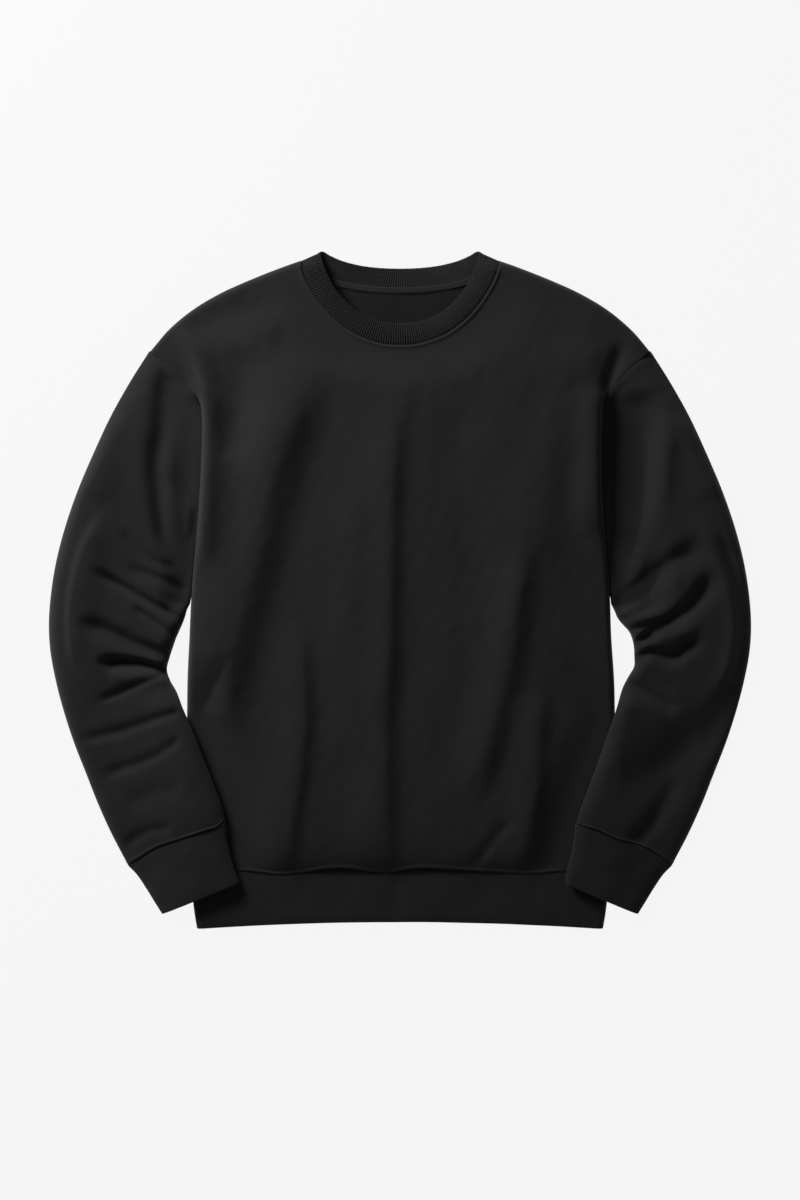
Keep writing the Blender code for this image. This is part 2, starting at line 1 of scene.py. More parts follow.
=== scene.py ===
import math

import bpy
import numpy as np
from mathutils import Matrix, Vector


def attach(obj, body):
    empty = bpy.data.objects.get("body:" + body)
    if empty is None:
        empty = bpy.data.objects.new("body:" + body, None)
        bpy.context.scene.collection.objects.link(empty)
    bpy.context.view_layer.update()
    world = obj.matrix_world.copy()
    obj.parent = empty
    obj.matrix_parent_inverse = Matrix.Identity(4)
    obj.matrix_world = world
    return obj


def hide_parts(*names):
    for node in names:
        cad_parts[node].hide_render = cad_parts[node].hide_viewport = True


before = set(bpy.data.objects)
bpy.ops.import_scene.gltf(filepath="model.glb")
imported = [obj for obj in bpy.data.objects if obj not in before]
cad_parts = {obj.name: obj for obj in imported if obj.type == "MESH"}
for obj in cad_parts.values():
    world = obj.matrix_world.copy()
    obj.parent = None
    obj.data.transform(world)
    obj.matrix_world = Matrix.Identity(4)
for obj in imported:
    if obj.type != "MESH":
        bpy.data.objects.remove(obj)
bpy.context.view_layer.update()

# A crewneck sweatshirt in heavy near-black fleece, laid flat with its forearms over the hem.
# Lengths are in millimetres until build_mesh() turns them into metres. +Z is up, the collar points
# to +Y, and the wearer's left is +X. Each piece has the same form as its solid, worked out from the
# same sizes, with finer points, its creases, the ridges at its seams and the ribs of its knit.

METRES = 0.001

# Sizes shared with the solids
FLEECE_WALL = 2.2
RIB_WALL = 2.6
SEAM_GAP = 0.3
FOOT_GAP = 0.7
MOUTH_GAP = 0.8
HEM_SEAM_X, HEM_SEAM_Y = 219.0, -296.0
HEM_END_X, HEM_END_Y = 213.0, -349.0
HEM_CORNER_DROP = 7.5
NECK_X, NECK_Y = 104.3, 345.3
# The shoulder tip, and how steep the armhole and shoulder are there
TIP_X, TIP_Y = 262.3, 250.0
TIP_SINE, SHOULDER_COSINE = 0.72, 0.9
BODY_EDGE_TOP = 14.0
ARMHOLE_PUFF = 4.0
NECKLINE_TOP = 13.5
HEM_TOP = 9.8
PRESSED_TOP = 9.8
SLEEVE_ROLL = 15.0
EDGE_RADIUS = 4.6
BACK_EDGE_ROLL = FLEECE_WALL + 0.5
TUCK = 4.4
SIDE_REACH = 0.24
MOUTH_CORNER = 1 / 60
CROWN_FROM_HEM = 16.0
# The length of a row of the sleeve's table
SLEEVE_ROW = 36.0

# Sizes that differ from the solids', so that the cloth is softer
BODY_CROWN = 21.5
BODY_ROLL = 7.0
MOUTH_TOP = 8.4
FOREARM_LIFT = 12.4
SLEEVE_PRESSED = 6.2

# Where a ramp starts and how long it is; a negative length runs the other way
CROWN_FROM_SIDE = (0, 105)
CROWN_FROM_SHOULDER = (-12, 120)
CROWN_FROM_NECK = (0, 55)
PUFF_FROM_SIDE = (45, -35)
PUFF_LOW_Y = (5, 50)
PUFF_HIGH_Y = (240, -50)
CLEAR_OF_FOREARM = (6, 46)
ABOVE_FOREARM_Y = (-150, 90)
RIDGE_FROM_FOREARM = (0, 12)
SWELL_FROM_FOREARM = (0, 25)
FOREARM_ON_BODY = (80, -96)
FOREARM_ON_BODY_Y = (-98, -28)
SIDE_ON_SLEEVE_Y = (0, 24)
SHOULDER_EDGE_Y = (188, 24)
ARMHOLE_SEAM_Y = (196, 10)
TIP_EDGE_Y = (200, 12)
MOUTH_UNDER_LOW_Y = (46, 16)
MOUTH_UNDER_HIGH_Y = (195, -12)
SLEEVE_AT_SHOULDER_Y = (160, 56)
SLEEVE_ABOVE_ARMPIT_Y = (-30, 20)
RIGHT_SLEEVE_BESIDE_BODY = (35, -30)
LEFT_SLEEVE_BESIDE_BODY = (70, -32)
CREASED_BESIDE_SEAM = (20, -18)
CREASES_FROM_BODY = (2, 10)
RIDGE_BELOW_NECK_POINT = (-1, 9)
HEM_WAVE_ABOVE_SEAM = (45, -45)
CUFF_WAVE_UP_SLEEVE = (40, -40)
BACK_DENTS_FROM_EDGE = (6, 40)
BACK_DENTS_FROM_HEM = (4, 30)
UNDER_DENTS_FROM_EDGE = (10, 25)
UNDER_DENTS_FROM_END = (5, 30)
RIB_CROWN_Z = (3, 9)
# The same, in rows of the sleeve's or the cuff's table and in shares of the hem's height
BOW_ROWS = (4, -4)
TUCK_ROWS = (0.7, -0.7)
CUFF_WAVE_ROWS = (2.2, -2.2)
CUFF_SWELL_ROWS = (0.3, 0.8)
HEM_SWELL_SHARE = (0, 0.3)

BODY_SIDE = {
    "columns": ("y", "x_at_right_arm", "x_at_left_arm"),
    "rows": (
        (-330, 217.5, 218.5), (-296, 219, 219), (-200, 223, 225), (-110, 223.5, 225.5),
        (-50, 221, 222), (0, 218.5, 220), (66, 212.5, 214), (120, 209, 211.5),
        (172, 207.5, 212), (196, 209.5, 213.5), (207.5, 217, 218.5), (218.5, 228, 228.5),
        (234, 243.5, 244), (250, 262.3, 262.3),
    ),
}
SHOULDER = {
    "columns": ("x", "y"),
    "rows": (
        (60, 360), (104.3, 345.3), (131, 335.7), (162.5, 323), (190, 310.3),
        (218, 293.5), (243, 272.5), (262.3, 250),
    ),
}
NECKLINE = {
    "columns": ("x", "y"),
    "rows": (
        (0, 256), (16, 257), (32, 261.3), (50, 269), (68.5, 283),
        (82, 298), (92, 313), (99.7, 328), (104.3, 345.3),
    ),
}
SLEEVE = {
    "columns": ("outer_x", "outer_y", "right_x", "right_y", "left_x", "left_y", "height"),
    "rows": (
        (263.4, 249.8, 220.5, -15, 221.5, -15, 14),
        (284, 217, 223.5, -21, 225, -22, 17),
        (304, 181, 225.5, -28, 228.5, -30, 20),
        (322.5, 141, 228, -35, 234, -37, 22),
        (338.5, 103, 231.5, -43, 240, -43.5, 23),
        (351, 67, 235, -51, 243.5, -51, 23),
        (360.5, 31, 238.5, -61, 245.5, -60, 23),
        (366.3, -4, 242, -72, 246, -70, 22),
        (368.6, -36, 244.7, -84, 245.7, -81, 21),
        (367, -65, 241, -96, 239.5, -92, 20),
        (361.5, -95, 234, -108, 233, -105, 19),
        (353.5, -126, 226, -127, 226, -126, 18),
        (342.5, -160, 215.5, -150, 217, -152, 17),
        (330, -192, 205, -177, 207.5, -179, 16),
        (317, -225, 195, -202, 198, -205, 15),
        (302.5, -257, 186.5, -226, 189, -229, 13.5),
        (285.5, -289.3, 183, -241, 184, -245, 10.5),
    ),
}
CUFF = {
    "columns": SLEEVE["columns"],
    "rows": (
        SLEEVE["rows"][-1],
        (276, -299, 181.5, -257, 182, -262, 10.5),
        (266, -313.5, 178, -276, 178.5, -279, 10.5),
        (257.5, -327, 173.5, -291, 174.5, -294, 10.5),
        (249.5, -339.4, 168, -306, 173, -307, 10),
    ),
}
FOREARM_OVER_BODY = {
    "columns": ("y", "x"),
    "rows": ((-306, 168), (-241, 183), (-132, 224)),
}
BACK_NECK = {
    "columns": ("x", "y"),
    "rows": (
        (101.3, 342.3), (96, 337), (84, 327.5), (68, 320), (46, 315.3),
        (23, 312.8), (0, 312),
    ),
}
# The rib's free edge: a row for each station of its seam edge
RIB_EDGE = {
    "columns": ("x", "y", "z"),
    "rows": (
        (0, 279, 15), (16, 280, 15), (31, 284.3, 15), (45, 291.8, 15),
        (57.5, 303, 14.8), (67.5, 315.3, 14.5), (74.5, 327.5, 14), (79.8, 341, 12.4),
        (83.2, 352, 8.4), (81, 355.8, 2.8), (72, 350.6, 0), (60, 345.5, 0),
        (44, 341.3, 0), (30, 339.2, 0), (15, 338, 0), (0, 337.6, 0),
    ),
}

# Creases: troughs where the depth is above 0 and ridges where it is below. The width goes from
# that at the path's start to that at its end, and a crease that leans is wider on its path's right.
CREASE_COLUMNS = ("width", "end_width", "depth", "lean", "path")
BODY_CREASES = {
    "columns": CREASE_COLUMNS,
    "rows": (
        (34, 40, -15, 0.3,
         ((-86, 240), (-94, 222), (-111, 188), (-131, 136), (-144, 88), (-152, 41), (-165, -11),
          (-178, -64), (-192, -122), (-206, -180))),
        (19, 21, -8.6, 0.42,
         ((10, 222), (3, 196), (-5, 167), (-9, 115), (-11, 62), (-12, 10), (-13, -60), (-17, -148),
          (-16, -253), (-15, -330))),
        (22, 26, 2.6, 0,
         ((-58, 222), (-80, 176), (-96, 124), (-112, 60), (-122, 10), (-136, -50), (-152, -104),
          (-170, -170))),
        (26, 30, -5.4, 0.1, ((190, 270), (184, 240), (168, 180), (150, 92), (138, 20))),
        (18, 18, -8.8, 0.16,
         ((132, 60), (123, 5), (117, -42), (111, -84), (103, -116), (95, -148), (85, -186),
          (76, -225))),
        (16, 17, -6.8, 0.4,
         ((-106, -30), (-102, -95), (-101, -137), (-104, -174), (-109, -211), (-115, -250),
          (-118, -310))),
        (15, 16, -5.4, 0.3, ((146, -105), (144, -150), (141, -200), (137, -240), (132, -310))),
        (22, 18, 4.6, 0, ((-166, 256), (-169, 200), (-176, 130))),
        (24, 24, -6.4, 0, ((-198, 170), (-198, 90), (-202, 10), (-206, -60), (-208, -120))),
        (18, 20, -3.6, 0.1, ((-44, 116), (-50, 40), (-54, -40), (-56, -110), (-52, -190))),
        (7, 6, 3.2, 0.2, ((118, -238), (100, -262), (84, -282), (66, -300))),
        (8, 6, 3.6, 0.2, ((196, -244), (176, -268), (152, -292), (138, -310))),
        (7, 6, 2.6, 0, ((196, -232), (181, -243), (164, -253), (150, -262))),
        (10, 9, -8.4, -0.35,
         ((-248, 278), (-231, 265), (-214, 244), (-204, 212), (-200, 160), (-203, 90), (-206, 20))),
        (9, 8, 4.6, 0, ((-268, 278), (-250, 260), (-236, 245), (-227, 228), (-217, 203))),
        (14, 18, 3.4, 0, ((-228, 276), (-170, 290), (-112, 308))),
        (7, 7, 5.5, 0, ((214, 200), (219, 221), (226, 240), (234, 258))),
        (13, 12, -6, 0.3, ((205, 222), (207, 180), (207, 130), (206, 80), (205, 50))),
        (16, 14, -3.6, 0, ((202, 264), (202, 230), (199, 180), (194, 110), (190, 50))),
        (20, 16, 3, 0, ((-40, 244), (-90, 252), (-140, 262))),
        (24, 26, 3, 0, ((52, 220), (60, 150), (72, 60), (70, -40))),
    ),
}
RIGHT_SLEEVE_CREASES = {
    "columns": CREASE_COLUMNS,
    "rows": (
        (13, 11, -5, -0.6,
         ((-304, 84), (-319, 62), (-331, 38), (-340, 6), (-344, -28), (-342, -62), (-338, -84))),
        (13, 8, 10, -0.15,
         ((-244, 244), (-245, 222), (-249, 176), (-256, 133), (-253, 98), (-248, 59), (-240, 38),
          (-228, 26))),
        (15, 13, 4.6, 0, ((-228, 250), (-231, 200), (-234, 150), (-230, 106), (-228, 84))),
        (12, 12, -5, 0, ((-210, 90), (-214, 74), (-210, 56))),
        (5, 5, 3, 0.2, ((-292, 66), (-278, 48), (-264, 34), (-247, 26), (-230, 24))),
        (6, 5, 3.8, 0.2, ((-286, 25), (-266, 17), (-250, 11), (-232, 3), (-214, -7))),
        (5, 5, 6, 0.2,
         ((-320, 21), (-300, 10), (-276, -4), (-252, -18), (-236, -27), (-220, -37))),
        (4.5, 4.5, 4, 0.2, ((-280, -17), (-262, -29), (-246, -41), (-230, -54))),
        (10, 6, 7, 0.2,
         ((-338, -38), (-328, -37), (-314, -39), (-298, -46), (-276, -56), (-250, -66),
          (-230, -76))),
        (8, 4, 12, 0.3,
         ((-316, -80), (-306, -76), (-292, -75), (-270, -77), (-246, -84), (-228, -88))),
        (8, 8, -2.4, 0, ((-306, -92), (-272, -93), (-250, -94))),
        (4.5, 4.5, 3.8, -0.2, ((-317, -118), (-296, -110), (-274, -100), (-254, -92), (-240, -86))),
        (6, 5, 4, -0.2,
         ((-340, -158), (-318, -155), (-286, -147), (-258, -137), (-236, -130), (-216, -122))),
        (6, 5, 3.4, -0.2, ((-316, -198), (-290, -188), (-258, -176), (-230, -158), (-208, -144))),
        (10, 10, 2.4, 0, ((-290, -226), (-262, -214), (-232, -206), (-206, -200))),
        (7, 7, 3, 0, ((-292, -272), (-274, -260), (-256, -252), (-236, -252))),
        (26, 26, -5, 0, ((-306, 160), (-322, 80), (-327, 0), (-322, -80), (-312, -130))),
        (18, 20, -2.6, 0, ((-300, 190), (-318, 140), (-332, 90))),
    ),
}
LEFT_SLEEVE_CREASES = {
    "columns": CREASE_COLUMNS,
    "rows": (
        (13, 12, 5, 0, ((219, 226), (221, 170), (222, 110), (222, 60), (220, 10))),
        (8, 8, -4.4, 0,
         ((306, 86), (324, 54), (338, 20), (347, -14), (349, -48), (341, -84), (322, -118))),
        (10, 11, 5.4, 0, ((330, 60), (346, 24), (357, -16), (358, -56), (350, -100))),
        (13, 12, -5.6, 0, ((282, 190), (276, 140), (270, 100), (260, 56), (244, 14), (230, -8))),
        (16, 14, 5, 0, ((244, 210), (250, 160), (252, 110), (246, 56), (236, 14), (226, -14))),
        (6, 13, 9, 0.1,
         ((212, -26), (226, -18), (242, -6), (262, 9), (284, 29), (304, 38), (322, 46))),
        (4, 5, 4, 0, ((222, -36), (236, -30), (252, -23), (268, -16))),
        (4, 4, 5, 0, ((232, -48), (246, -41), (262, -36), (274, -32))),
        (5, 11, 10, 0.1,
         ((236, -66), (252, -53), (270, -40), (290, -27), (306, -15), (320, 4), (330, 20))),
        (6, 8, 9.4, 0.2, ((234, -76), (250, -70), (264, -65), (284, -70), (300, -59), (318, -54))),
        (8, 8, -2.8, 0, ((262, -54), (290, -47), (312, -36))),
        (6, 7, 5, 0.2, ((224, -90), (240, -97), (256, -106), (274, -117), (292, -128))),
        (18, 26, 7.6, 0,
         ((366, -80), (352, -112), (328, -144), (300, -167), (270, -188), (246, -201),
          (230, -210))),
        (9, 10, 4.6, 0, ((238, -276), (252, -258), (266, -241), (280, -218), (290, -196))),
        (18, 18, -2.8, 0, ((296, 190), (312, 140), (326, 90))),
    ),
}
BACK_CREASES = {
    "columns": CREASE_COLUMNS,
    "rows": (
        (20, 24, 2.6, 0.2, ((90, 200), (120, 90), (150, -60))),
        (12, 12, 2, 0, ((-10, 190), (0, 20), (6, -220))),
        (14, 12, 2.2, 0.2, ((-96, -40), (-110, -140), (-98, -240))),
        (10, 12, 1.8, 0, ((-150, 60), (-168, -60))),
        (10, 10, 1.6, 0, ((70, -130), (84, -230))),
    ),
}
HEM_CREASES = {
    "columns": CREASE_COLUMNS,
    "rows": (
        (10, 12, 2.6, 0, ((-5, -290), (-5, -345))),
        (10, 12, 2.1, 0, ((-103, -290), (-106, -340))),
        (12, 14, 2.3, 0, ((90, -290), (84, -335))),
        (12, 14, 1.8, 0, ((143, -290), (138, -340))),
        (30, 34, -1.6, 0, ((-55, -290), (-58, -350))),
        (30, 34, -1.6, 0, ((40, -290), (44, -350))),
    ),
}
CREASE_FADE, CREASE_END = 0.22, 0.12
# How much of its creases the hem shows, and how those of a sleeve's top dent its underside
HEM_CREASE_SHARE = 0.5
UNDER_DENT_SHARE, UNDER_DENT_SHIFT, UNDER_DENT_MOST = 0.4, 7, 3
# Random swells: a height, a size and a seed
SWELLS = {
    "front": ((0.45, 70, 3), (0.16, 26, 4)),
    "back": ((0.4, 60, 8),),
    "sleeve": ((0.4, 60, 11), (0.15, 24, 21)),
    "cuff": ((0.5, 45, 31),),
    "hem": ((0.5, 80, 41),),
}
SWELL_WAVES = 9
SWELL_SPREAD = (0.7, 1.5)
# How far the seams wander: along the hem, and up the sleeve at the cuffs
HEM_WAVE = {
    "columns": ("x", "rise"),
    "rows": (
        (-219, 0), (-164, 0), (-121, -3.5), (-65, 3.6), (-17, -1.2),
        (23, 3.6), (68, 1), (134, -2.7), (174, 0), (219, 0),
    ),
}
CUFF_WAVE = {
    "columns": ("share", "right", "left"),
    "rows": ((0, 0, 0), (0.1, -3, 1.5), (0.2, -1.5, 3), (0.4, 1, 2.5), (0.65, 4, 5.5), (0.85, 2, 4),
             (1, 0, 0)),
}

# The ridge beside a seam to rib knit, with its share at a tube's edges, and the dip at a seam
BEAD_HEIGHT, BEAD_AT, BEAD_HALF, BEAD_AT_EDGE = 1.5, 2.3, 1.25, 0.3
SEAM_SINK, ARMHOLE_SINK, SEAM_HALF = 0.6, 0.48, 0.9
# The stitches, whose thread has this radius and a share of it at each end
STITCH_FROM_SEAM, STITCH_LENGTH, STITCH_GAP = 4.6, 2.4, 0.9
STITCH_ARCH, STITCH_DIP = 0.34, 0.1
THREAD, THREAD_END = 0.26, 0.55
THREAD_SIDES = STITCH_SECTIONS = 6
STITCHES_ABOVE = EDGE_RADIUS + 2
HEM_STITCH_COLUMNS, TAPE_STITCH_COLUMNS = slice(60, -60), slice(2, -2)
TAPE_STITCH_ROWS = (1, 7)

# Rib knit: ribs, their relief, points across each, the relief's share at the fold and inside;
# and the neck rib's crown
CUFF_RIBS, HEM_RIBS, NECK_RIBS = 92, 398, 200
CUFF_RELIEF, HEM_RELIEF, NECK_RELIEF = 0.32, 0.26, 1.0
RIB_STATIONS = 5
FOLD_GROOVE, INNER_GROOVE = 0.7, 0.8
NECK_CROWN, NECK_SINK, NECK_SINK_HALF = 0.9, 0.6, 0.05

# The neck tape: its shares of the way from the seam to the rib's edge, its rise off the rib, its
# own puff, and its first and last station of the seam
TAPE_REACH = (-0.03, 0.2)
TAPE_WALL, TAPE_RISE, TAPE_PUFF = 0.5, 0.05, 0.4
TAPE_STATIONS = (2, 6)

FLEECE_COLOUR = (0.0094, 0.0092, 0.0097)
# Painted shade: the back's inner face is coloured darker than the fleece to stand in for the shade
# under the front, seen through the neck
INSIDE_SHADE_COLOUR = (0.0052, 0.0051, 0.0054)
RIB_COLOUR = (0.0086, 0.0084, 0.0089)
TAPE_COLOUR = (0.0086, 0.0084, 0.0088)
THREAD_COLOUR = (0.0120, 0.0118, 0.0124)
FLOOR_COLOUR = (0.02, 0.02, 0.02)
SHEEN_TINT = (0.30, 0.30, 0.32, 1.0)
WHITE = (1, 1, 1, 1)

# Camera and studio, in metres but for the lens and sensor
MM_PER_PIXEL = 1.05
IMAGE_WIDTH, IMAGE_HEIGHT = 800, 1200
ORIGIN_PIXEL = (400, 589.5)
LENS, SENSOR = 85, 36
LAMP_FROM = (-0.65, 0.71, 0.52)
LAMP_DISTANCE, LAMP_SIZE, LAMP_POWER = 1.75, 0.68, 45.5
SKY_STRENGTH = 0.24
FLOOR_SIZE, FLOOR_Z = 12, -0.0004
FLOOR_GLOW = 0.900


# ---- curves and ramps


def smooth(value):
    """0 below 0, 1 above 1, and a soft ramp between."""
    held = np.clip(value, 0.0, 1.0)
    return held * held * (3.0 - 2.0 * held)


def ramp(value, start_and_length):
    """A soft ramp from 0 at its start to 1 at its length from there."""
    start, length = start_and_length
    return smooth((value - start) / length)


def rounded(value):
    """The height of a quarter circle, from 0 at its foot to 1."""
    return np.sqrt(1.0 - (1.0 - np.clip(value, 0.0, 1.0)) ** 2)


def at_least(low, value, ease=1.5):
    """The value, eased onto a lower limit."""
    return (value + low + np.hypot(value - low, ease)) / 2


def hump(value, half_width):
    """A rounded bump, 1 high at 0 and nearly gone two half widths away."""
    return np.exp(-((value / half_width) ** 2))


def mix(first, second, share):
    return first + (second - first) * share


def through(rows, places):
    """Points on a smooth curve through the rows, at places counted in rows."""
    rows = np.asarray(rows, float)
    places = np.asarray(places, float)
    ends = np.vstack([2 * rows[0] - rows[1], rows, 2 * rows[-1] - rows[-2]])
    row = np.clip(np.floor(places).astype(int), 0, len(rows) - 2)
    t = (places - row)[:, None]
    a, b, c, d = (ends[row + k] for k in range(4))
    bend, twist = 2 * a - 5 * b + 4 * c - d, 3 * (b - c) - a + d
    return 0.5 * (2 * b + (c - a) * t + bend * t**2 + twist * t**3)


def looked_up(table, key, value, at, steps=240):
    """The table's value column where its key column has the given values."""
    curve = through(table["rows"], np.linspace(0, len(table["rows"]) - 1, steps))
    keys = curve[:, table["columns"].index(key)]
    return np.interp(at, keys, curve[:, table["columns"].index(value)])


def lengths_along(points):
    steps = np.linalg.norm(np.diff(points, axis=0), axis=1)
    return np.concatenate([[0.0], np.cumsum(steps)])


def nearest_on(path, x, y):
    """How far each x, y is from the path, on which side, and at what share along it."""
    path = np.asarray(path, float)
    along = lengths_along(path)
    shape = np.broadcast(x, y).shape
    distance, side, place = np.full(shape, np.inf), np.zeros(shape), np.zeros(shape)
    for k, (start, end) in enumerate(zip(path[:-1], path[1:])):
        run = end - start
        dx, dy = x - start[0], y - start[1]
        t = np.clip((dx * run[0] + dy * run[1]) / (run @ run), 0, 1)
        away = np.hypot(dx - t * run[0], dy - t * run[1])
        closer = away < distance
        side = np.where(closer, np.sign(dx * run[1] - dy * run[0]), side)
        place = np.where(closer, mix(along[k], along[k + 1], t) / along[-1], place)
        distance = np.minimum(distance, away)
    return distance, side, place


def crease_depth(x, y, creases):
    """How far the creases lower the cloth at x, y. Each fades out towards both its ends."""
    total = np.zeros(np.broadcast(x, y).shape)
    for width, end_width, depth, lean, path in creases["rows"]:
        curve = through(path, np.linspace(0, len(path) - 1, 6 * len(path)))
        distance, side, place = nearest_on(curve, x, y)
        across = mix(width, end_width, place) * (1 + lean * side)
        ends = smooth(np.minimum(place, 1 - place) / CREASE_FADE + CREASE_END)
        total += depth * ends * hump(distance, across)
    return total


def unevenness(x, y, part, side=0):
    """The soft random swells of a part, of humps about its size across."""
    total = np.zeros(np.broadcast(x, y).shape)
    for height, size, seed in SWELLS[part]:
        random = np.random.default_rng(seed + side)
        for _ in range(SWELL_WAVES):
            angle, phase = random.uniform(0, 2 * math.pi, 2)
            wave = random.uniform(*SWELL_SPREAD) * 2 * math.pi / size
            run = x * math.cos(angle) + y * math.sin(angle)
            total += height * np.sin(wave * run + phase) / math.sqrt(SWELL_WAVES)
    return total


# ---- the form of the garment


def body_edge_x(x, y):
    """The body's half width at y, on the side that x is on."""
    right = looked_up(BODY_SIDE, "y", "x_at_right_arm", y)
    left = looked_up(BODY_SIDE, "y", "x_at_left_arm", y)
    return np.where(np.asarray(x) < 0, right, left)


def shoulder_y(x):
    return looked_up(SHOULDER, "x", "y", np.abs(x))


def below_shoulder(x, y):
    """The distance from the shoulder seam down into the panel."""
    return SHOULDER_COSINE * (shoulder_y(x) - y)


def outside_neck(x, y):
    """About the distance from the front neck seam, as if it were half an ellipse."""
    depth = NECK_Y - NECKLINE["rows"][0][1]
    return (NECK_X + depth) / 2 * (np.hypot(x / NECK_X, (NECK_Y - y) / depth) - 1)


def forearm_edge_x(y):
    return np.interp(y, *zip(*FOREARM_OVER_BODY["rows"]))


def front_height(x, y, creased=True):
    """The front's outer face, before its edges roll down."""
    inside = body_edge_x(x, y) - np.abs(x)
    above_hem = np.clip(y - HEM_SEAM_Y, 0, None)
    crown = ramp(inside, CROWN_FROM_SIDE) * ramp(below_shoulder(x, y), CROWN_FROM_SHOULDER)
    puff = ramp(y, PUFF_LOW_Y) * ramp(y, PUFF_HIGH_Y) * ramp(inside, PUFF_FROM_SIDE)
    height = mix(BODY_EDGE_TOP, BODY_CROWN, crown) + ARMHOLE_PUFF * puff
    if creased:
        height = height + unevenness(x, y, "front") - crease_depth(x, y, BODY_CREASES)
    height = mix(NECKLINE_TOP, height, ramp(outside_neck(x, y), CROWN_FROM_NECK))
    height = mix(HEM_TOP, height, 1 - np.exp(-above_hem / CROWN_FROM_HEM))
    clear_of_forearm = ramp(forearm_edge_x(y) - np.abs(x), CLEAR_OF_FOREARM)
    uncovered = np.maximum(clear_of_forearm, ramp(y, ABOVE_FOREARM_Y))
    return mix(np.minimum(height, PRESSED_TOP), height, uncovered)


def front_top(x, y, creased=True):
    """The front's outer face, its edges rolled down to what they are sewn to."""
    foot = FLEECE_WALL + FOOT_GAP
    height = mix(foot, front_height(x, y, creased), rounded(below_shoulder(x, y) / BODY_ROLL))
    side_foot = mix(foot, MOUTH_TOP + FOOT_GAP, ramp(y, SIDE_ON_SLEEVE_Y))
    inside = body_edge_x(x, y) - np.abs(x)
    rolled = mix(side_foot, height, rounded(inside / BODY_ROLL))
    return mix(rolled, height, ramp(y, SHOULDER_EDGE_Y))


def seam_ridge(distance):
    """The rounded ridge beside a seam, and the dip at the seam itself."""
    return BEAD_HEIGHT * hump(distance - BEAD_AT, BEAD_HALF) - SEAM_SINK * hump(distance, SEAM_HALF)


def hem_rise(x):
    return looked_up(HEM_WAVE, "x", "rise", x)


def lift(x, y):
    """How high the body's edge holds a forearm or a cuff off the surface."""
    outside = np.abs(x) - body_edge_x(x, y)
    return FOREARM_LIFT * ramp(outside, FOREARM_ON_BODY) * ramp(y, FOREARM_ON_BODY_Y)


def under_roll(share, width):
    """How far the underside of a flattened tube rises at its edges."""
    from_edge = np.minimum(share, 1 - share) * width
    return EDGE_RADIUS * (1 - rounded(from_edge / EDGE_RADIUS))


def tube_rows(table, side, places):
    """The outer edge, inner edge and height at each place; side is -1 at the right arm."""
    rows = through(table["rows"], places)
    name = "right" if side < 0 else "left"
    column = table["columns"].index
    outer = rows[:, [column("outer_x"), column("outer_y")]]
    inner = rows[:, [column(name + "_x"), column(name + "_y")]]
    return outer, inner, rows[:, column("height")]


# ---- grids of points

EDGE_STEPS = BODY_ROLL * np.array([0.0, 0.03, 0.1, 0.2, 0.33, 0.5, 0.72, 1.0])
SEAM_STEPS = np.array([0.0, 0.6, 1.2, 1.8, 2.4, 3.0, 3.7, 4.6, 6.0])
SHOULDER_COLUMNS, NECK_POINTS, BODY_ROWS = 44, 40, 196
SLEEVE_TOP, SLEEVE_UNDER, SLEEVE_RINGS = 66, 34, 218
CUFF_LOOP, CUFF_ROWS, CUFF_ROWS_FROM = 160, 22, 0.4
HEM_LOOP, HEM_ROWS, HEM_ROWS_FROM = 320, 7, 8
TAPE_COLUMNS, TAPE_ROWS = 60, 9
NECK_STATIONS = 9
NECK_SHARES = np.concatenate([[0, 0.03, 0.07, 0.13], np.linspace(0.22, 1, 7)])
# How far a tube runs on under its neighbour, and how deep
ALLOWANCE, ALLOWANCE_DEPTH, NECK_ALLOWANCE_DEPTH = 3.2, 2.6, 0.6


def mirrored(half):
    """Half of a row of values carried on to the other side."""
    return np.concatenate([-half, half[-2::-1]])


def front_neck(count):
    """The points of the front neck seam, from the shoulder to the middle."""
    x = NECK_X * np.cos(np.linspace(0, np.pi / 2, count))
    return x, looked_up(NECKLINE, "x", "y", x)


def back_neck(count):
    rows = BACK_NECK["rows"]
    return through(rows, np.linspace(0, len(rows) - 1, count)).T


def panel_plan(neck_x, neck_y, rows):
    """A body panel in plan: rows from the hem seam up, columns across."""
    shoulder = np.linspace(TIP_X - BODY_ROLL, NECK_X, SHOULDER_COLUMNS)[1:]
    if neck_x[0] == NECK_X:
        shoulder = shoulder[:-1]
    top_half = np.concatenate([TIP_X - EDGE_STEPS, shoulder])
    top_y = np.concatenate([shoulder_y(top_half), neck_y])
    top_x = mirrored(np.concatenate([top_half, neck_x]))
    top_y = np.concatenate([top_y, top_y[-2::-1]])
    count = len(top_half) + len(neck_x) - len(EDGE_STEPS)
    across_hem = np.linspace(HEM_SEAM_X - BODY_ROLL, 0, count + 1)[1:]
    bottom_x = mirrored(np.concatenate([HEM_SEAM_X - EDGE_STEPS, across_hem]))
    height = TIP_Y - HEM_SEAM_Y
    low, high = SEAM_STEPS / height, 1 - EDGE_STEPS[::-1] / height
    v = np.concatenate([low, np.linspace(low[-1], high[0], rows)[1:-1], high])[:, None]
    u = ((bottom_x + HEM_SEAM_X) / (2 * HEM_SEAM_X))[None, :]
    x = mix(bottom_x, top_x, v)
    y = mix(HEM_SEAM_Y + SEAM_GAP, top_y, v)
    side_y = mix(HEM_SEAM_Y + SEAM_GAP, TIP_Y, v)
    straight_x = mix(HEM_SEAM_X, TIP_X, v)
    near_right, near_left = (np.clip(1 - share / SIDE_REACH, 0, 1) for share in (u, 1 - u))
    x += near_right * (straight_x - body_edge_x(-1, side_y))
    x -= near_left * (straight_x - body_edge_x(1, side_y))
    return x, y + hem_rise(x) * ramp(y - HEM_SEAM_Y, HEM_WAVE_ABOVE_SEAM)


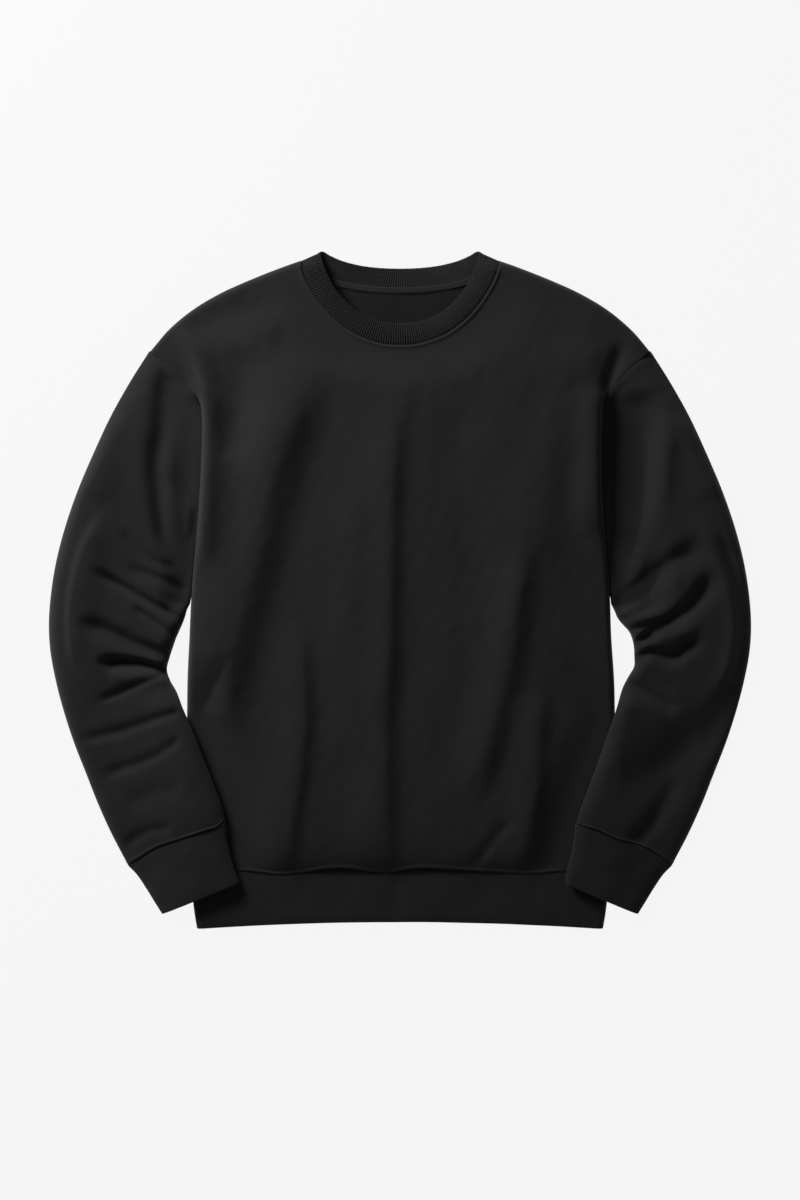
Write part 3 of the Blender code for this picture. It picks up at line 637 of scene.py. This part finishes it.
def front_grid():
    """The outer face of the front, with the ridges beside its seams."""
    neck_x, neck_y = front_neck(NECK_POINTS)
    x, y = panel_plan(neck_x, neck_y, BODY_ROWS)
    z = front_top(x, y)
    from_hem = y - HEM_SEAM_Y - hem_rise(x)
    z += seam_ridge(from_hem) * ramp(forearm_edge_x(y) - np.abs(x), RIDGE_FROM_FOREARM)
    neck = np.column_stack([mirrored(neck_x), np.concatenate([neck_y, neck_y[-2::-1]])])
    z += seam_ridge(nearest_on(neck, x, y)[0]) * ramp(NECK_Y - y, RIDGE_BELOW_NECK_POINT)
    from_armhole = TIP_SINE * (body_edge_x(x, y) - np.abs(x))
    z -= ARMHOLE_SINK * hump(from_armhole, SEAM_HALF) * ramp(y, ARMHOLE_SEAM_Y)
    return np.dstack([x, y, z])


def back_grid():
    """The back's outer face, on the surface and turned up at its edges."""
    x, y = panel_plan(*back_neck(NECK_POINTS), BODY_ROWS // 2)
    inside = body_edge_x(x, y) - np.abs(x)
    edge = np.minimum(inside, below_shoulder(x, y))
    dents = crease_depth(x, y, BACK_CREASES) + np.clip(unevenness(x, y, "back"), 0, None)
    away = ramp(edge, BACK_DENTS_FROM_EDGE) * ramp(y - HEM_SEAM_Y, BACK_DENTS_FROM_HEM)
    turn_up = FLEECE_WALL * (1 - rounded(edge / BACK_EDGE_ROLL))
    return np.dstack([x, y, turn_up + dents * away])[:, ::-1]


def up_sleeve(side):
    """The direction in plan, square to the cuff seam, that leads up the sleeve."""
    outer, inner, _ = tube_rows(SLEEVE, side, [len(SLEEVE["rows"]) - 1])
    across = outer[0] - inner[0]
    return np.array([-across[1], across[0]]) / np.hypot(*across)


def cuff_rise(side, share):
    return looked_up(CUFF_WAVE, "share", "right" if side < 0 else "left", share)


def sleeve_grid(side, creases):
    """A flattened tube from the armhole seam to the cuff."""
    last = len(SLEEVE["rows"]) - 1
    seam_rows = last - SEAM_STEPS[::-1] / SLEEVE_ROW
    places = np.concatenate([np.linspace(0, seam_rows[0], SLEEVE_RINGS)[:-1], seam_rows])[:, None]
    outer, inner, height = tube_rows(SLEEVE, side, places[:, 0])
    top = (1 - np.cos(np.linspace(0, np.pi, SLEEVE_TOP))) / 2
    low = (1 + np.cos(np.linspace(0, np.pi, SLEEVE_UNDER)[1:-1])) / 2
    share = np.concatenate([top, low])[None, :]
    is_top = np.arange(share.size)[None, :] < SLEEVE_TOP
    width = np.hypot(*(outer - inner).T)[:, None]
    x, y = (mix(inner[:, i : i + 1], outer[:, i : i + 1], share) for i in (0, 1))
    from_edge = np.minimum(share, 1 - share)
    mouth_line = mix(inner[0, 0], outer[0, 0], share)
    mouth_y = mix(inner[0, 1], outer[0, 1], share)
    bow = mouth_line - body_edge_x(side, mouth_y) - MOUTH_GAP
    bow = bow * ramp(places, BOW_ROWS) * np.sin(np.pi / 2 * np.clip(from_edge / MOUTH_CORNER, 0, 1))
    tuck = TUCK * ramp(mouth_y, MOUTH_UNDER_LOW_Y) * ramp(mouth_y, MOUTH_UNDER_HIGH_Y)
    x = x - bow - np.where(is_top, tuck * ramp(places, TUCK_ROWS), 0)
    outside = (x - body_edge_x(side, y)) * mix(1, TIP_SINE, ramp(y, TIP_EDGE_Y))
    seam_y = np.clip(y, None, TIP_Y)
    seam_x = side * body_edge_x(side, seam_y)
    creased = ramp(outside, CREASED_BESIDE_SEAM)
    flush = mix(front_top(seam_x, seam_y, False), front_top(seam_x, seam_y), creased)
    beside_body = mix(MOUTH_TOP, flush, ramp(y, SLEEVE_AT_SHOULDER_Y))
    beside_body -= ARMHOLE_SINK * hump(outside, SEAM_HALF) * ramp(y, ARMHOLE_SEAM_Y)
    depth = crease_depth(side * x, y, creases) * ramp(outside, CREASES_FROM_BODY)
    free = height[:, None] + unevenness(x, y, "sleeve", side)
    beside = RIGHT_SLEEVE_BESIDE_BODY if side < 0 else LEFT_SLEEVE_BESIDE_BODY
    near = ramp(outside, beside) * ramp(y, SLEEVE_ABOVE_ARMPIT_Y)
    roll = rounded(from_edge * width / SLEEVE_ROLL)
    from_end = (last - places) * SLEEVE_ROW
    ridge = seam_ridge(from_end) * np.clip(roll, BEAD_AT_EDGE, 1)
    z_top = at_least(SLEEVE_PRESSED, mix(free, beside_body, near) - depth)
    z_top = mix(EDGE_RADIUS, z_top, roll) + ridge
    dents = UNDER_DENT_SHARE * crease_depth(side * x, y + UNDER_DENT_SHIFT, creases)
    dents = np.clip(dents, 0, UNDER_DENT_MOST) * ramp(from_edge * width, UNDER_DENTS_FROM_EDGE)
    z_under = under_roll(share, width) + dents * ramp(from_end, UNDER_DENTS_FROM_END)
    z = np.where(is_top, z_top, z_under)
    up = up_sleeve(side)
    rise = cuff_rise(side, share) * ramp(from_end, CUFF_WAVE_UP_SLEEVE)
    x, y = x + up[0] * rise, y + up[1] * rise
    return with_allowance(outward(np.dstack([side * x, y, z + lift(side * x, y)])))


def outward(grid):
    """The grid of a tube, its columns turned round if its faces would point inwards."""
    facing = np.cross(np.roll(grid, -1, axis=1) - grid, np.gradient(grid, axis=0))
    away = grid - grid.mean(axis=1, keepdims=True)
    return grid if (facing * away).sum() > 0 else grid[:, ::-1]


def with_allowance(grid, depth=ALLOWANCE_DEPTH):
    """The grid with one more row at its start, under the neighbouring piece."""
    onward = grid[0] - grid[3]
    onward *= ALLOWANCE / np.linalg.norm(onward, axis=1, keepdims=True)
    return np.vstack([[grid[0] + onward - depth * grid_normals(grid)[0]], grid])


def even_ring(ring, count):
    """A closed ring read again at equal steps of its length."""
    closed = np.vstack([ring, ring[:1]])
    along = lengths_along(closed)
    at = np.linspace(0, along[-1], count, endpoint=False)
    return np.column_stack([np.interp(at, along, closed[:, i]) for i in range(3)])


def loop_shares(count):
    """Shares of the width round a flattened tube, over the top and back below."""
    over = (1 - np.cos(np.linspace(0, np.pi, count))) / 2
    return np.concatenate([over, over[-2:0:-1]]), np.arange(2 * count - 2) < count


def cuff_grid(side, ribs):
    """A cuff from the sleeve's end to its folded free edge, a flattened tube."""
    up = up_sleeve(side)
    length = SLEEVE_ROW / 2
    last = len(CUFF["rows"]) - 1
    end = last - RIB_WALL / 2 / length
    rows = np.concatenate([SEAM_STEPS / length, np.linspace(CUFF_ROWS_FROM, end, CUFF_ROWS)])
    outer, inner, height = tube_rows(CUFF, side, rows)
    share, is_top = loop_shares(CUFF_LOOP)
    rings = []
    for row, out, inn, tall in zip(rows, outer, inner, height):
        width = np.hypot(*(out - inn))
        x, y = (mix(inn[i], out[i], share) for i in (0, 1))
        push = -MOUTH_GAP + cuff_rise(side, share) * ramp(row, CUFF_WAVE_ROWS)
        x, y = x + up[0] * push, y + up[1] * push
        roll = rounded(np.minimum(share, 1 - share) * width / SLEEVE_ROLL)
        tall = tall + unevenness(x, y, "cuff", side) * ramp(row, CUFF_SWELL_ROWS)
        sink = SEAM_SINK * hump(row * length, SEAM_HALF) * roll
        z = np.where(is_top, mix(EDGE_RADIUS, tall, roll) - sink, under_roll(share, width))
        ring = np.column_stack([side * x, y, z + lift(side * x, y)])
        rings.append(even_ring(ring, ribs * RIB_STATIONS))
    return with_allowance(outward(np.array(rings)))


def hem_grid(ribs):
    """The hem band from its seam to its folded free edge, a flattened tube."""
    length = HEM_SEAM_Y - HEM_END_Y
    rows = np.concatenate([SEAM_STEPS, np.linspace(HEM_ROWS_FROM, length - RIB_WALL / 2, HEM_ROWS)])
    share, is_top = loop_shares(HEM_LOOP)
    rings = []
    for down in rows / length:
        half = mix(HEM_SEAM_X, HEM_END_X, down**2)
        x = half * (2 * share - 1)
        y = mix(HEM_SEAM_Y - SEAM_GAP / 2, HEM_END_Y, down) + hem_rise(x) * (1 - down) ** 2
        y = y - HEM_CORNER_DROP * down * (x / half) ** 2
        roll = rounded(np.minimum(share, 1 - share) * 2 * half / BODY_ROLL)
        bare = ramp(forearm_edge_x(y) - np.abs(x), SWELL_FROM_FOREARM)
        swell = unevenness(x, y, "hem") - HEM_CREASE_SHARE * crease_depth(x, y, HEM_CREASES)
        sink = SEAM_SINK * hump(down * length, SEAM_HALF) * roll
        tall = HEM_TOP + bare * swell * ramp(down, HEM_SWELL_SHARE)
        z = np.where(is_top, mix(EDGE_RADIUS, tall, roll) - sink, under_roll(share, 2 * half))
        rings.append(even_ring(np.column_stack([x, y, z]), ribs * RIB_STATIONS))
    return with_allowance(outward(np.array(rings)))


def rib_seam():
    """The rib's seam edge at its stations, from mid front to mid back."""
    front_x, front_y = (values[::-1] for values in front_neck(NECK_STATIONS))
    back_x, back_y = np.array(BACK_NECK["rows"]).T
    seam = []
    front_z = front_top(front_x, front_y, False)
    for x, y, z in ((front_x, front_y, front_z), (back_x, back_y, 0 * back_x)):
        slope = np.gradient(y, x)
        slope[np.abs(x) < 1] = 0
        gap = SEAM_GAP / np.hypot(1, slope)
        seam.append(np.column_stack([x - gap * slope, y + gap, z]))
    return np.vstack(seam)


def neck_rib_grid(ribs):
    """The neck rib all round, from its seam to its folded free edge."""
    seam_rows, edge_rows = rib_seam(), np.asarray(RIB_EDGE["rows"])
    fine = np.linspace(0, len(seam_rows) - 1, 600)
    along = lengths_along(mix(through(seam_rows, fine), through(edge_rows, fine), 0.5))
    places = np.interp(np.linspace(0, along[-1], ribs * RIB_STATIONS // 2 + 1), along, fine)
    seam, edge = through(seam_rows, places), through(edge_rows, places)
    reach = 1 - RIB_WALL / 2 / np.linalg.norm(edge - seam, axis=1, keepdims=True)
    rows = []
    for share in NECK_SHARES:
        row = mix(seam, mix(seam, edge, reach), share)
        crown = NECK_CROWN * math.sin(math.pi * share) - NECK_SINK * hump(share, NECK_SINK_HALF)
        row[:, 2] += crown * ramp(row[:, 2], RIB_CROWN_Z)
        row[:, 2] = np.clip(row[:, 2], 0, None)
        rows.append(np.vstack([row, (row * [-1, 1, 1])[-2:0:-1]]))
    return with_allowance(np.array(rows), NECK_ALLOWANCE_DEPTH)


def tape_grid():
    """The tape that covers the back neck seam, on the inner face of the rib."""
    stations = np.linspace(*TAPE_STATIONS, TAPE_COLUMNS)
    seam = through(BACK_NECK["rows"], stations)
    edge = through(RIB_EDGE["rows"][NECK_STATIONS:], stations)[:, :2]
    foot = RIB_WALL + SEAM_GAP
    rows = []
    for share in np.linspace(0, 1, TAPE_ROWS):
        half = mix(seam, edge, mix(*TAPE_REACH, share))
        row = np.vstack([half * [-1, 1], half[-2::-1]])
        tall = foot + TAPE_RISE + TAPE_PUFF * (1 - (2 * share - 1) ** 4)
        rows.append(np.column_stack([row, np.full(len(row), tall)]))
    return np.array(rows)


# ---- meshes


def grid_faces(rows, columns, closed, closed_rows=False):
    """The corners of the quads between neighbouring points of a grid."""
    r = np.arange(rows if closed_rows else rows - 1)[:, None]
    c = np.arange(columns if closed else columns - 1)[None, :]
    low, high = r * columns, (r + 1) % rows * columns
    n = (c + 1) % columns
    return np.stack(np.broadcast_arrays(low + c, low + n, high + n, high + c), -1).reshape(-1, 4)


def build_mesh(name, points, faces, finish, grain):
    """An object in metres; its grain attribute holds each point's place on the flat cloth."""
    mesh = bpy.data.meshes.new(name)
    mesh.from_pydata((points * METRES).tolist(), [], faces.tolist())
    attribute = mesh.attributes.new("grain", "FLOAT_VECTOR", "POINT")
    flat = np.column_stack([grain * METRES, np.zeros(len(grain))])
    attribute.data.foreach_set("vector", flat.ravel().astype(np.float32))
    mesh.shade_smooth()
    mesh.materials.append(finish)
    obj = bpy.data.objects.new(name, mesh)
    bpy.context.scene.collection.objects.link(obj)
    return obj


def cloth_grain(grid, closed):
    """The place of each point on the flat cloth: in plan on a panel, along its grid on a tube."""
    if not closed:
        return grid[:, :, :2].reshape(-1, 2)
    across = np.linalg.norm(np.diff(grid, axis=1), axis=2).mean(axis=0)
    along = np.linalg.norm(np.diff(grid, axis=0), axis=2).mean(axis=1)
    u = np.concatenate([[0], np.cumsum(across)])
    v = np.concatenate([[0], np.cumsum(along)])
    return np.dstack(np.meshgrid(u, v)).reshape(-1, 2)


def wall_object(name, grid, wall, finish, closed=False, inner=None):
    """A wall of cloth whose outer face is the grid; inner finishes the other."""
    faces = grid_faces(*grid.shape[:2], closed)
    obj = build_mesh(name, grid.reshape(-1, 3), faces, finish, cloth_grain(grid, closed))
    solidify = obj.modifiers.new("wall", "SOLIDIFY")
    solidify.thickness = wall * METRES
    solidify.offset = -1.0
    if inner:
        obj.data.materials.append(inner)
        solidify.material_offset = 1
    return obj


def grid_normals(grid):
    """The direction out of a tube's grid at each of its points."""
    along = np.roll(grid, -1, axis=1) - np.roll(grid, 1, axis=1)
    normal = np.cross(along, np.gradient(grid, axis=0))
    return normal / np.linalg.norm(normal, axis=2, keepdims=True)


def ribbed_object(name, grid, wall, finish, relief):
    """A folded band of rib knit, ribbed on both faces and round its fold."""
    rows, columns = grid.shape[:2]
    normal = grid_normals(grid)
    phase = 2 * math.pi * np.arange(columns) / RIB_STATIONS
    groove = (relief * (0.5 - 0.5 * np.cos(phase)))[None, :, None]
    onward = grid[-1] - grid[-2]
    onward /= np.linalg.norm(onward, axis=1, keepdims=True)
    centre = grid[-1] - normal[-1] * wall / 2
    fold = []
    for angle in (math.pi / 4, 0, -math.pi / 4):
        out = math.sin(angle) * normal[-1] + math.cos(angle) * onward
        fold.append(centre + out * (wall / 2 - groove[0] * FOLD_GROOVE))
    back_rows = np.unique(np.linspace(rows - 1, 0, max(4, rows // 3)).astype(int))[::-1]
    inside = (grid - normal * (wall - INNER_GROOVE * groove))[back_rows]
    points = np.concatenate([grid - groove * normal, np.array(fold), inside])
    faces = grid_faces(len(points), columns, True, closed_rows=True)
    return build_mesh(name, points.reshape(-1, 3), faces, finish, cloth_grain(points, True))


def stitch_points(line, normals):
    """Threads along a line on the cloth, each dipping into it at both ends."""
    along = lengths_along(line)
    pitch = STITCH_LENGTH + STITCH_GAP
    starts = np.arange(pitch / 2, along[-1] - pitch, pitch)
    share = np.linspace(0, 1, STITCH_SECTIONS)
    at = starts[:, None] + share * STITCH_LENGTH
    centre = np.stack([np.interp(at, along, line[:, i]) for i in range(3)], -1)
    normal = np.stack([np.interp(at, along, normals[:, i]) for i in range(3)], -1)
    normal /= np.linalg.norm(normal, axis=-1, keepdims=True)
    run = np.gradient(centre, axis=1)
    run /= np.linalg.norm(run, axis=-1, keepdims=True)
    across = np.cross(normal, run)
    arch = np.sin(math.pi * share)[None, :, None]
    centre = centre + normal * (STITCH_ARCH * arch - STITCH_DIP)
    radius = THREAD * mix(THREAD_END, 1, arch)
    rings = []
    for angle in np.linspace(0, 2 * math.pi, THREAD_SIDES, endpoint=False):
        rings.append(centre + radius * (math.cos(angle) * across + math.sin(angle) * normal))
    return np.stack(rings, 2)


def stitch_object(name, lines, finish):
    """The stitches along all the lines as one mesh, each a short open tube."""
    stitches = np.concatenate([stitch_points(*line) for line in lines])
    count, sections, sides = stitches.shape[:3]
    starts = np.arange(count)[:, None, None] * sections * sides
    faces = (grid_faces(sections, sides, True) + starts).reshape(-1, 4)
    points = stitches.reshape(-1, 3)
    return build_mesh(name, points, faces, finish, points[:, :2])


def row_line(grid, row, columns):
    """Part of one row of a grid, with the directions out of the cloth along it."""
    facing = np.cross(np.gradient(grid, axis=1), np.gradient(grid, axis=0))[row, columns]
    return grid[row, columns], facing / np.linalg.norm(facing, axis=1, keepdims=True)


# ---- materials


def node(tree, kind, **values):
    made = tree.nodes.new(kind)
    for name, value in values.items():
        if name in made.inputs:
            made.inputs[name].default_value = value
        else:
            setattr(made, name, value)
    return made


def maths(tree, operation, first, second=None, third=None):
    made = tree.nodes.new("ShaderNodeMath")
    made.operation = operation
    for socket, value in zip(made.inputs, (first, second, third)):
        if isinstance(value, (int, float)):
            socket.default_value = value
        elif value is not None:
            tree.links.new(value, socket)
    return made.outputs[0]


def noise(tree, place, scale, detail=3.0, rough=0.6):
    """Noise from 0 to 1, its scale in lumps to the metre."""
    made = node(tree, "ShaderNodeTexNoise", Scale=scale, Detail=detail, Roughness=rough)
    tree.links.new(place, made.inputs["Vector"])
    return made.outputs["Fac"]


def knit_height(tree, wale, course):
    """The height of a fine knit, its wales leaning to and fro with each course."""
    grain = node(tree, "ShaderNodeAttribute", attribute_name="grain").outputs["Vector"]
    split = node(tree, "ShaderNodeSeparateXYZ")
    tree.links.new(grain, split.inputs[0])
    u = maths(tree, "MULTIPLY", split.outputs[0], math.pi / wale)
    v = maths(tree, "MULTIPLY", split.outputs[1], 2 * math.pi / course)
    wales = maths(tree, "ABSOLUTE", maths(tree, "SINE", u))
    lean = maths(tree, "MULTIPLY", wales, 2.2)
    loops = maths(tree, "SINE", maths(tree, "ADD", v, lean))
    return maths(tree, "MULTIPLY_ADD", loops, 0.35, wales)


def start_material(name, **sockets):
    """A new material with these sockets set, its tree, shader and object coordinates."""
    material = bpy.data.materials.new(name)
    material.use_nodes = True
    tree = material.node_tree
    shader = tree.nodes["Principled BSDF"]
    for socket, value in sockets.items():
        shader.inputs[socket.replace("_", " ")].default_value = value
    return material, tree, shader, node(tree, "ShaderNodeTexCoord").outputs["Object"]


def shade_colour(tree, shader, colour, shade):
    """Gives the shader a colour that the shade makes lighter or darker."""
    tint = node(tree, "ShaderNodeVectorMath", operation="SCALE")
    tint.inputs[0].default_value = colour
    tree.links.new(shade, tint.inputs["Scale"])
    tree.links.new(tint.outputs[0], shader.inputs["Base Color"])


def cloth_material(name, colour, **own_look):
    """Matt near-black cotton: mottled dye, a fine knit under a short nap, a faint dusty sheen."""
    look = dict(wale=0.0011, course=0.0009, knit=0.10, fuzz=0.16, sheen=0.2, rough=0.9, mottle=0.36)
    look.update(own_look)
    material, tree, shader, place = start_material(
        name, Specular_IOR_Level=0.13, Sheen_Weight=look["sheen"], Sheen_Roughness=0.55,
        Sheen_Tint=SHEEN_TINT,
    )
    material.diffuse_color = (*colour, 1.0)
    patches = noise(tree, place, scale=28.0, detail=4.0, rough=0.62)
    fibres = noise(tree, place, scale=1500.0, detail=2.0, rough=0.7)
    nap = noise(tree, place, scale=420.0, detail=4.0, rough=0.75)
    shade = maths(tree, "MULTIPLY_ADD", patches, look["mottle"], 1 - look["mottle"] / 2)
    shade = maths(tree, "MULTIPLY", shade, maths(tree, "MULTIPLY_ADD", fibres, 0.9, 0.55))
    shade_colour(tree, shader, colour, shade)
    rough = maths(tree, "MULTIPLY_ADD", nap, 0.12, look["rough"] - 0.06)
    tree.links.new(rough, shader.inputs["Roughness"])
    height = maths(tree, "MULTIPLY", knit_height(tree, look["wale"], look["course"]), look["knit"])
    height = maths(tree, "MULTIPLY_ADD", nap, look["fuzz"], height)
    height = maths(tree, "MULTIPLY_ADD", fibres, look["fuzz"] * 0.5, height)
    bump = node(tree, "ShaderNodeBump", Strength=0.8, Distance=METRES)
    tree.links.new(height, bump.inputs["Height"])
    tree.links.new(bump.outputs[0], shader.inputs["Normal"])
    return material


def thread_material():
    """Black sewing thread, a little smoother than the cloth, with its twist."""
    material, tree, shader, place = start_material(
        "sewing_thread", Specular_IOR_Level=0.3, Roughness=0.6
    )
    twist = maths(tree, "MULTIPLY_ADD", noise(tree, place, scale=2500.0), 0.8, 0.6)
    shade_colour(tree, shader, THREAD_COLOUR, twist)
    return material


def floor_material():
    """A plain pale floor that glows as paper does under studio light."""
    material, tree, shader, place = start_material(
        "pale_floor", Specular_IOR_Level=0.1, Roughness=0.95, Emission_Color=WHITE,
        Emission_Strength=FLOOR_GLOW,
    )
    tone = maths(tree, "MULTIPLY_ADD", noise(tree, place, scale=6.0), 0.01, 0.995)
    shade_colour(tree, shader, FLOOR_COLOUR, tone)
    return material


# ---- camera and light


def add_camera():
    """A long lens straight above, framed as the picture is at the cloth's height."""
    lens = bpy.data.cameras.new("camera")
    lens.lens, lens.sensor_width = LENS, SENSOR
    camera = bpy.data.objects.new("camera", lens)
    frame_height = IMAGE_HEIGHT * MM_PER_PIXEL * METRES
    x = (IMAGE_WIDTH / 2 - ORIGIN_PIXEL[0]) * MM_PER_PIXEL * METRES
    y = (ORIGIN_PIXEL[1] - IMAGE_HEIGHT / 2) * MM_PER_PIXEL * METRES
    camera.location = (x, y, frame_height * LENS / SENSOR + EDGE_RADIUS * METRES)
    bpy.context.scene.collection.objects.link(camera)
    bpy.context.scene.camera = camera


def add_light():
    """One soft lamp at the upper left and an even pale sky."""
    softbox = bpy.data.lights.new("softbox", "AREA")
    softbox.shape = "DISK"
    softbox.size = LAMP_SIZE
    softbox.energy = LAMP_POWER
    lamp = bpy.data.objects.new("softbox", softbox)
    lamp.location = Vector(LAMP_FROM).normalized() * LAMP_DISTANCE
    lamp.rotation_euler = Vector(LAMP_FROM).to_track_quat("Z", "Y").to_euler()
    bpy.context.scene.collection.objects.link(lamp)
    world = bpy.data.worlds.new("studio")
    world.use_nodes = True
    sky = world.node_tree.nodes["Background"]
    sky.inputs["Color"].default_value = WHITE
    sky.inputs["Strength"].default_value = SKY_STRENGTH
    bpy.context.scene.world = world
    bpy.context.scene.view_settings.view_transform = "Standard"


def add_floor():
    bpy.ops.mesh.primitive_plane_add(size=FLOOR_SIZE, location=(0.0, 0.0, FLOOR_Z))
    floor = bpy.context.object
    floor.name = "floor"
    floor.data.materials.append(floor_material())


# ---- the pieces

# The nodes of a piece whose solid is made in two
NODES = {
    "sleeve_right": ("sleeve_right_upper", "sleeve_right_lower"),
    "sleeve_left": ("sleeve_left_upper", "sleeve_left_lower"),
}


def stand_in(piece):
    """The piece takes the place of the solid of the same name, or of both its halves."""
    name = piece.name.removesuffix("_cloth")
    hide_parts(*NODES.get(name, (name,)))
    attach(piece, "root")


def main():
    add_camera()
    add_light()
    add_floor()
    fleece = cloth_material("fleece", FLEECE_COLOUR)
    # A darker copy of the fleece for the back's inner face: painted shade where the front shades
    # the inside
    inside = cloth_material("fleece_inside_painted_shade", INSIDE_SHADE_COLOUR, knit=0.05, fuzz=0.2, sheen=0.1)
    rib = cloth_material("rib_knit", RIB_COLOUR, knit=0.16, fuzz=0.08, wale=0.00055)
    tape = cloth_material("neck_tape", TAPE_COLOUR, knit=0.06, fuzz=0.05, rough=0.85, sheen=0.3)
    front = front_grid()
    right, left = sleeve_grid(-1, RIGHT_SLEEVE_CREASES), sleeve_grid(1, LEFT_SLEEVE_CREASES)
    tape_rows = tape_grid()
    for piece in (
        wall_object("front_panel_cloth", front, FLEECE_WALL, fleece),
        wall_object("back_panel_cloth", back_grid(), FLEECE_WALL, fleece, inner=inside),
        wall_object("sleeve_right_cloth", right, FLEECE_WALL, fleece, closed=True),
        wall_object("sleeve_left_cloth", left, FLEECE_WALL, fleece, closed=True),
    ):
        stand_in(piece)
    for piece in (
        ribbed_object("cuff_right_cloth", cuff_grid(-1, CUFF_RIBS), RIB_WALL, rib, CUFF_RELIEF),
        ribbed_object("cuff_left_cloth", cuff_grid(1, CUFF_RIBS), RIB_WALL, rib, CUFF_RELIEF),
        ribbed_object("hem_band_cloth", hem_grid(HEM_RIBS), RIB_WALL, rib, HEM_RELIEF),
        ribbed_object("neck_rib_cloth", neck_rib_grid(NECK_RIBS), RIB_WALL, rib, NECK_RELIEF),
    ):
        stand_in(piece)
    stand_in(wall_object("back_neck_tape_cloth", tape_rows, TAPE_WALL, tape))

    seam_row = int(np.searchsorted(SEAM_STEPS, STITCH_FROM_SEAM))
    lines = [row_line(front, seam_row, HEM_STITCH_COLUMNS)]
    lines += [row_line(tape_rows, row, TAPE_STITCH_COLUMNS) for row in TAPE_STITCH_ROWS]
    for tube in (right, left):
        on_top = np.flatnonzero(tube[-1 - seam_row, :, 2] > STITCHES_ABOVE)
        lines.append(row_line(tube, -1 - seam_row, slice(on_top[0], on_top[-1])))
    stitches = stitch_object("seam_stitches", lines, thread_material())
    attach(stitches, "root")


main()
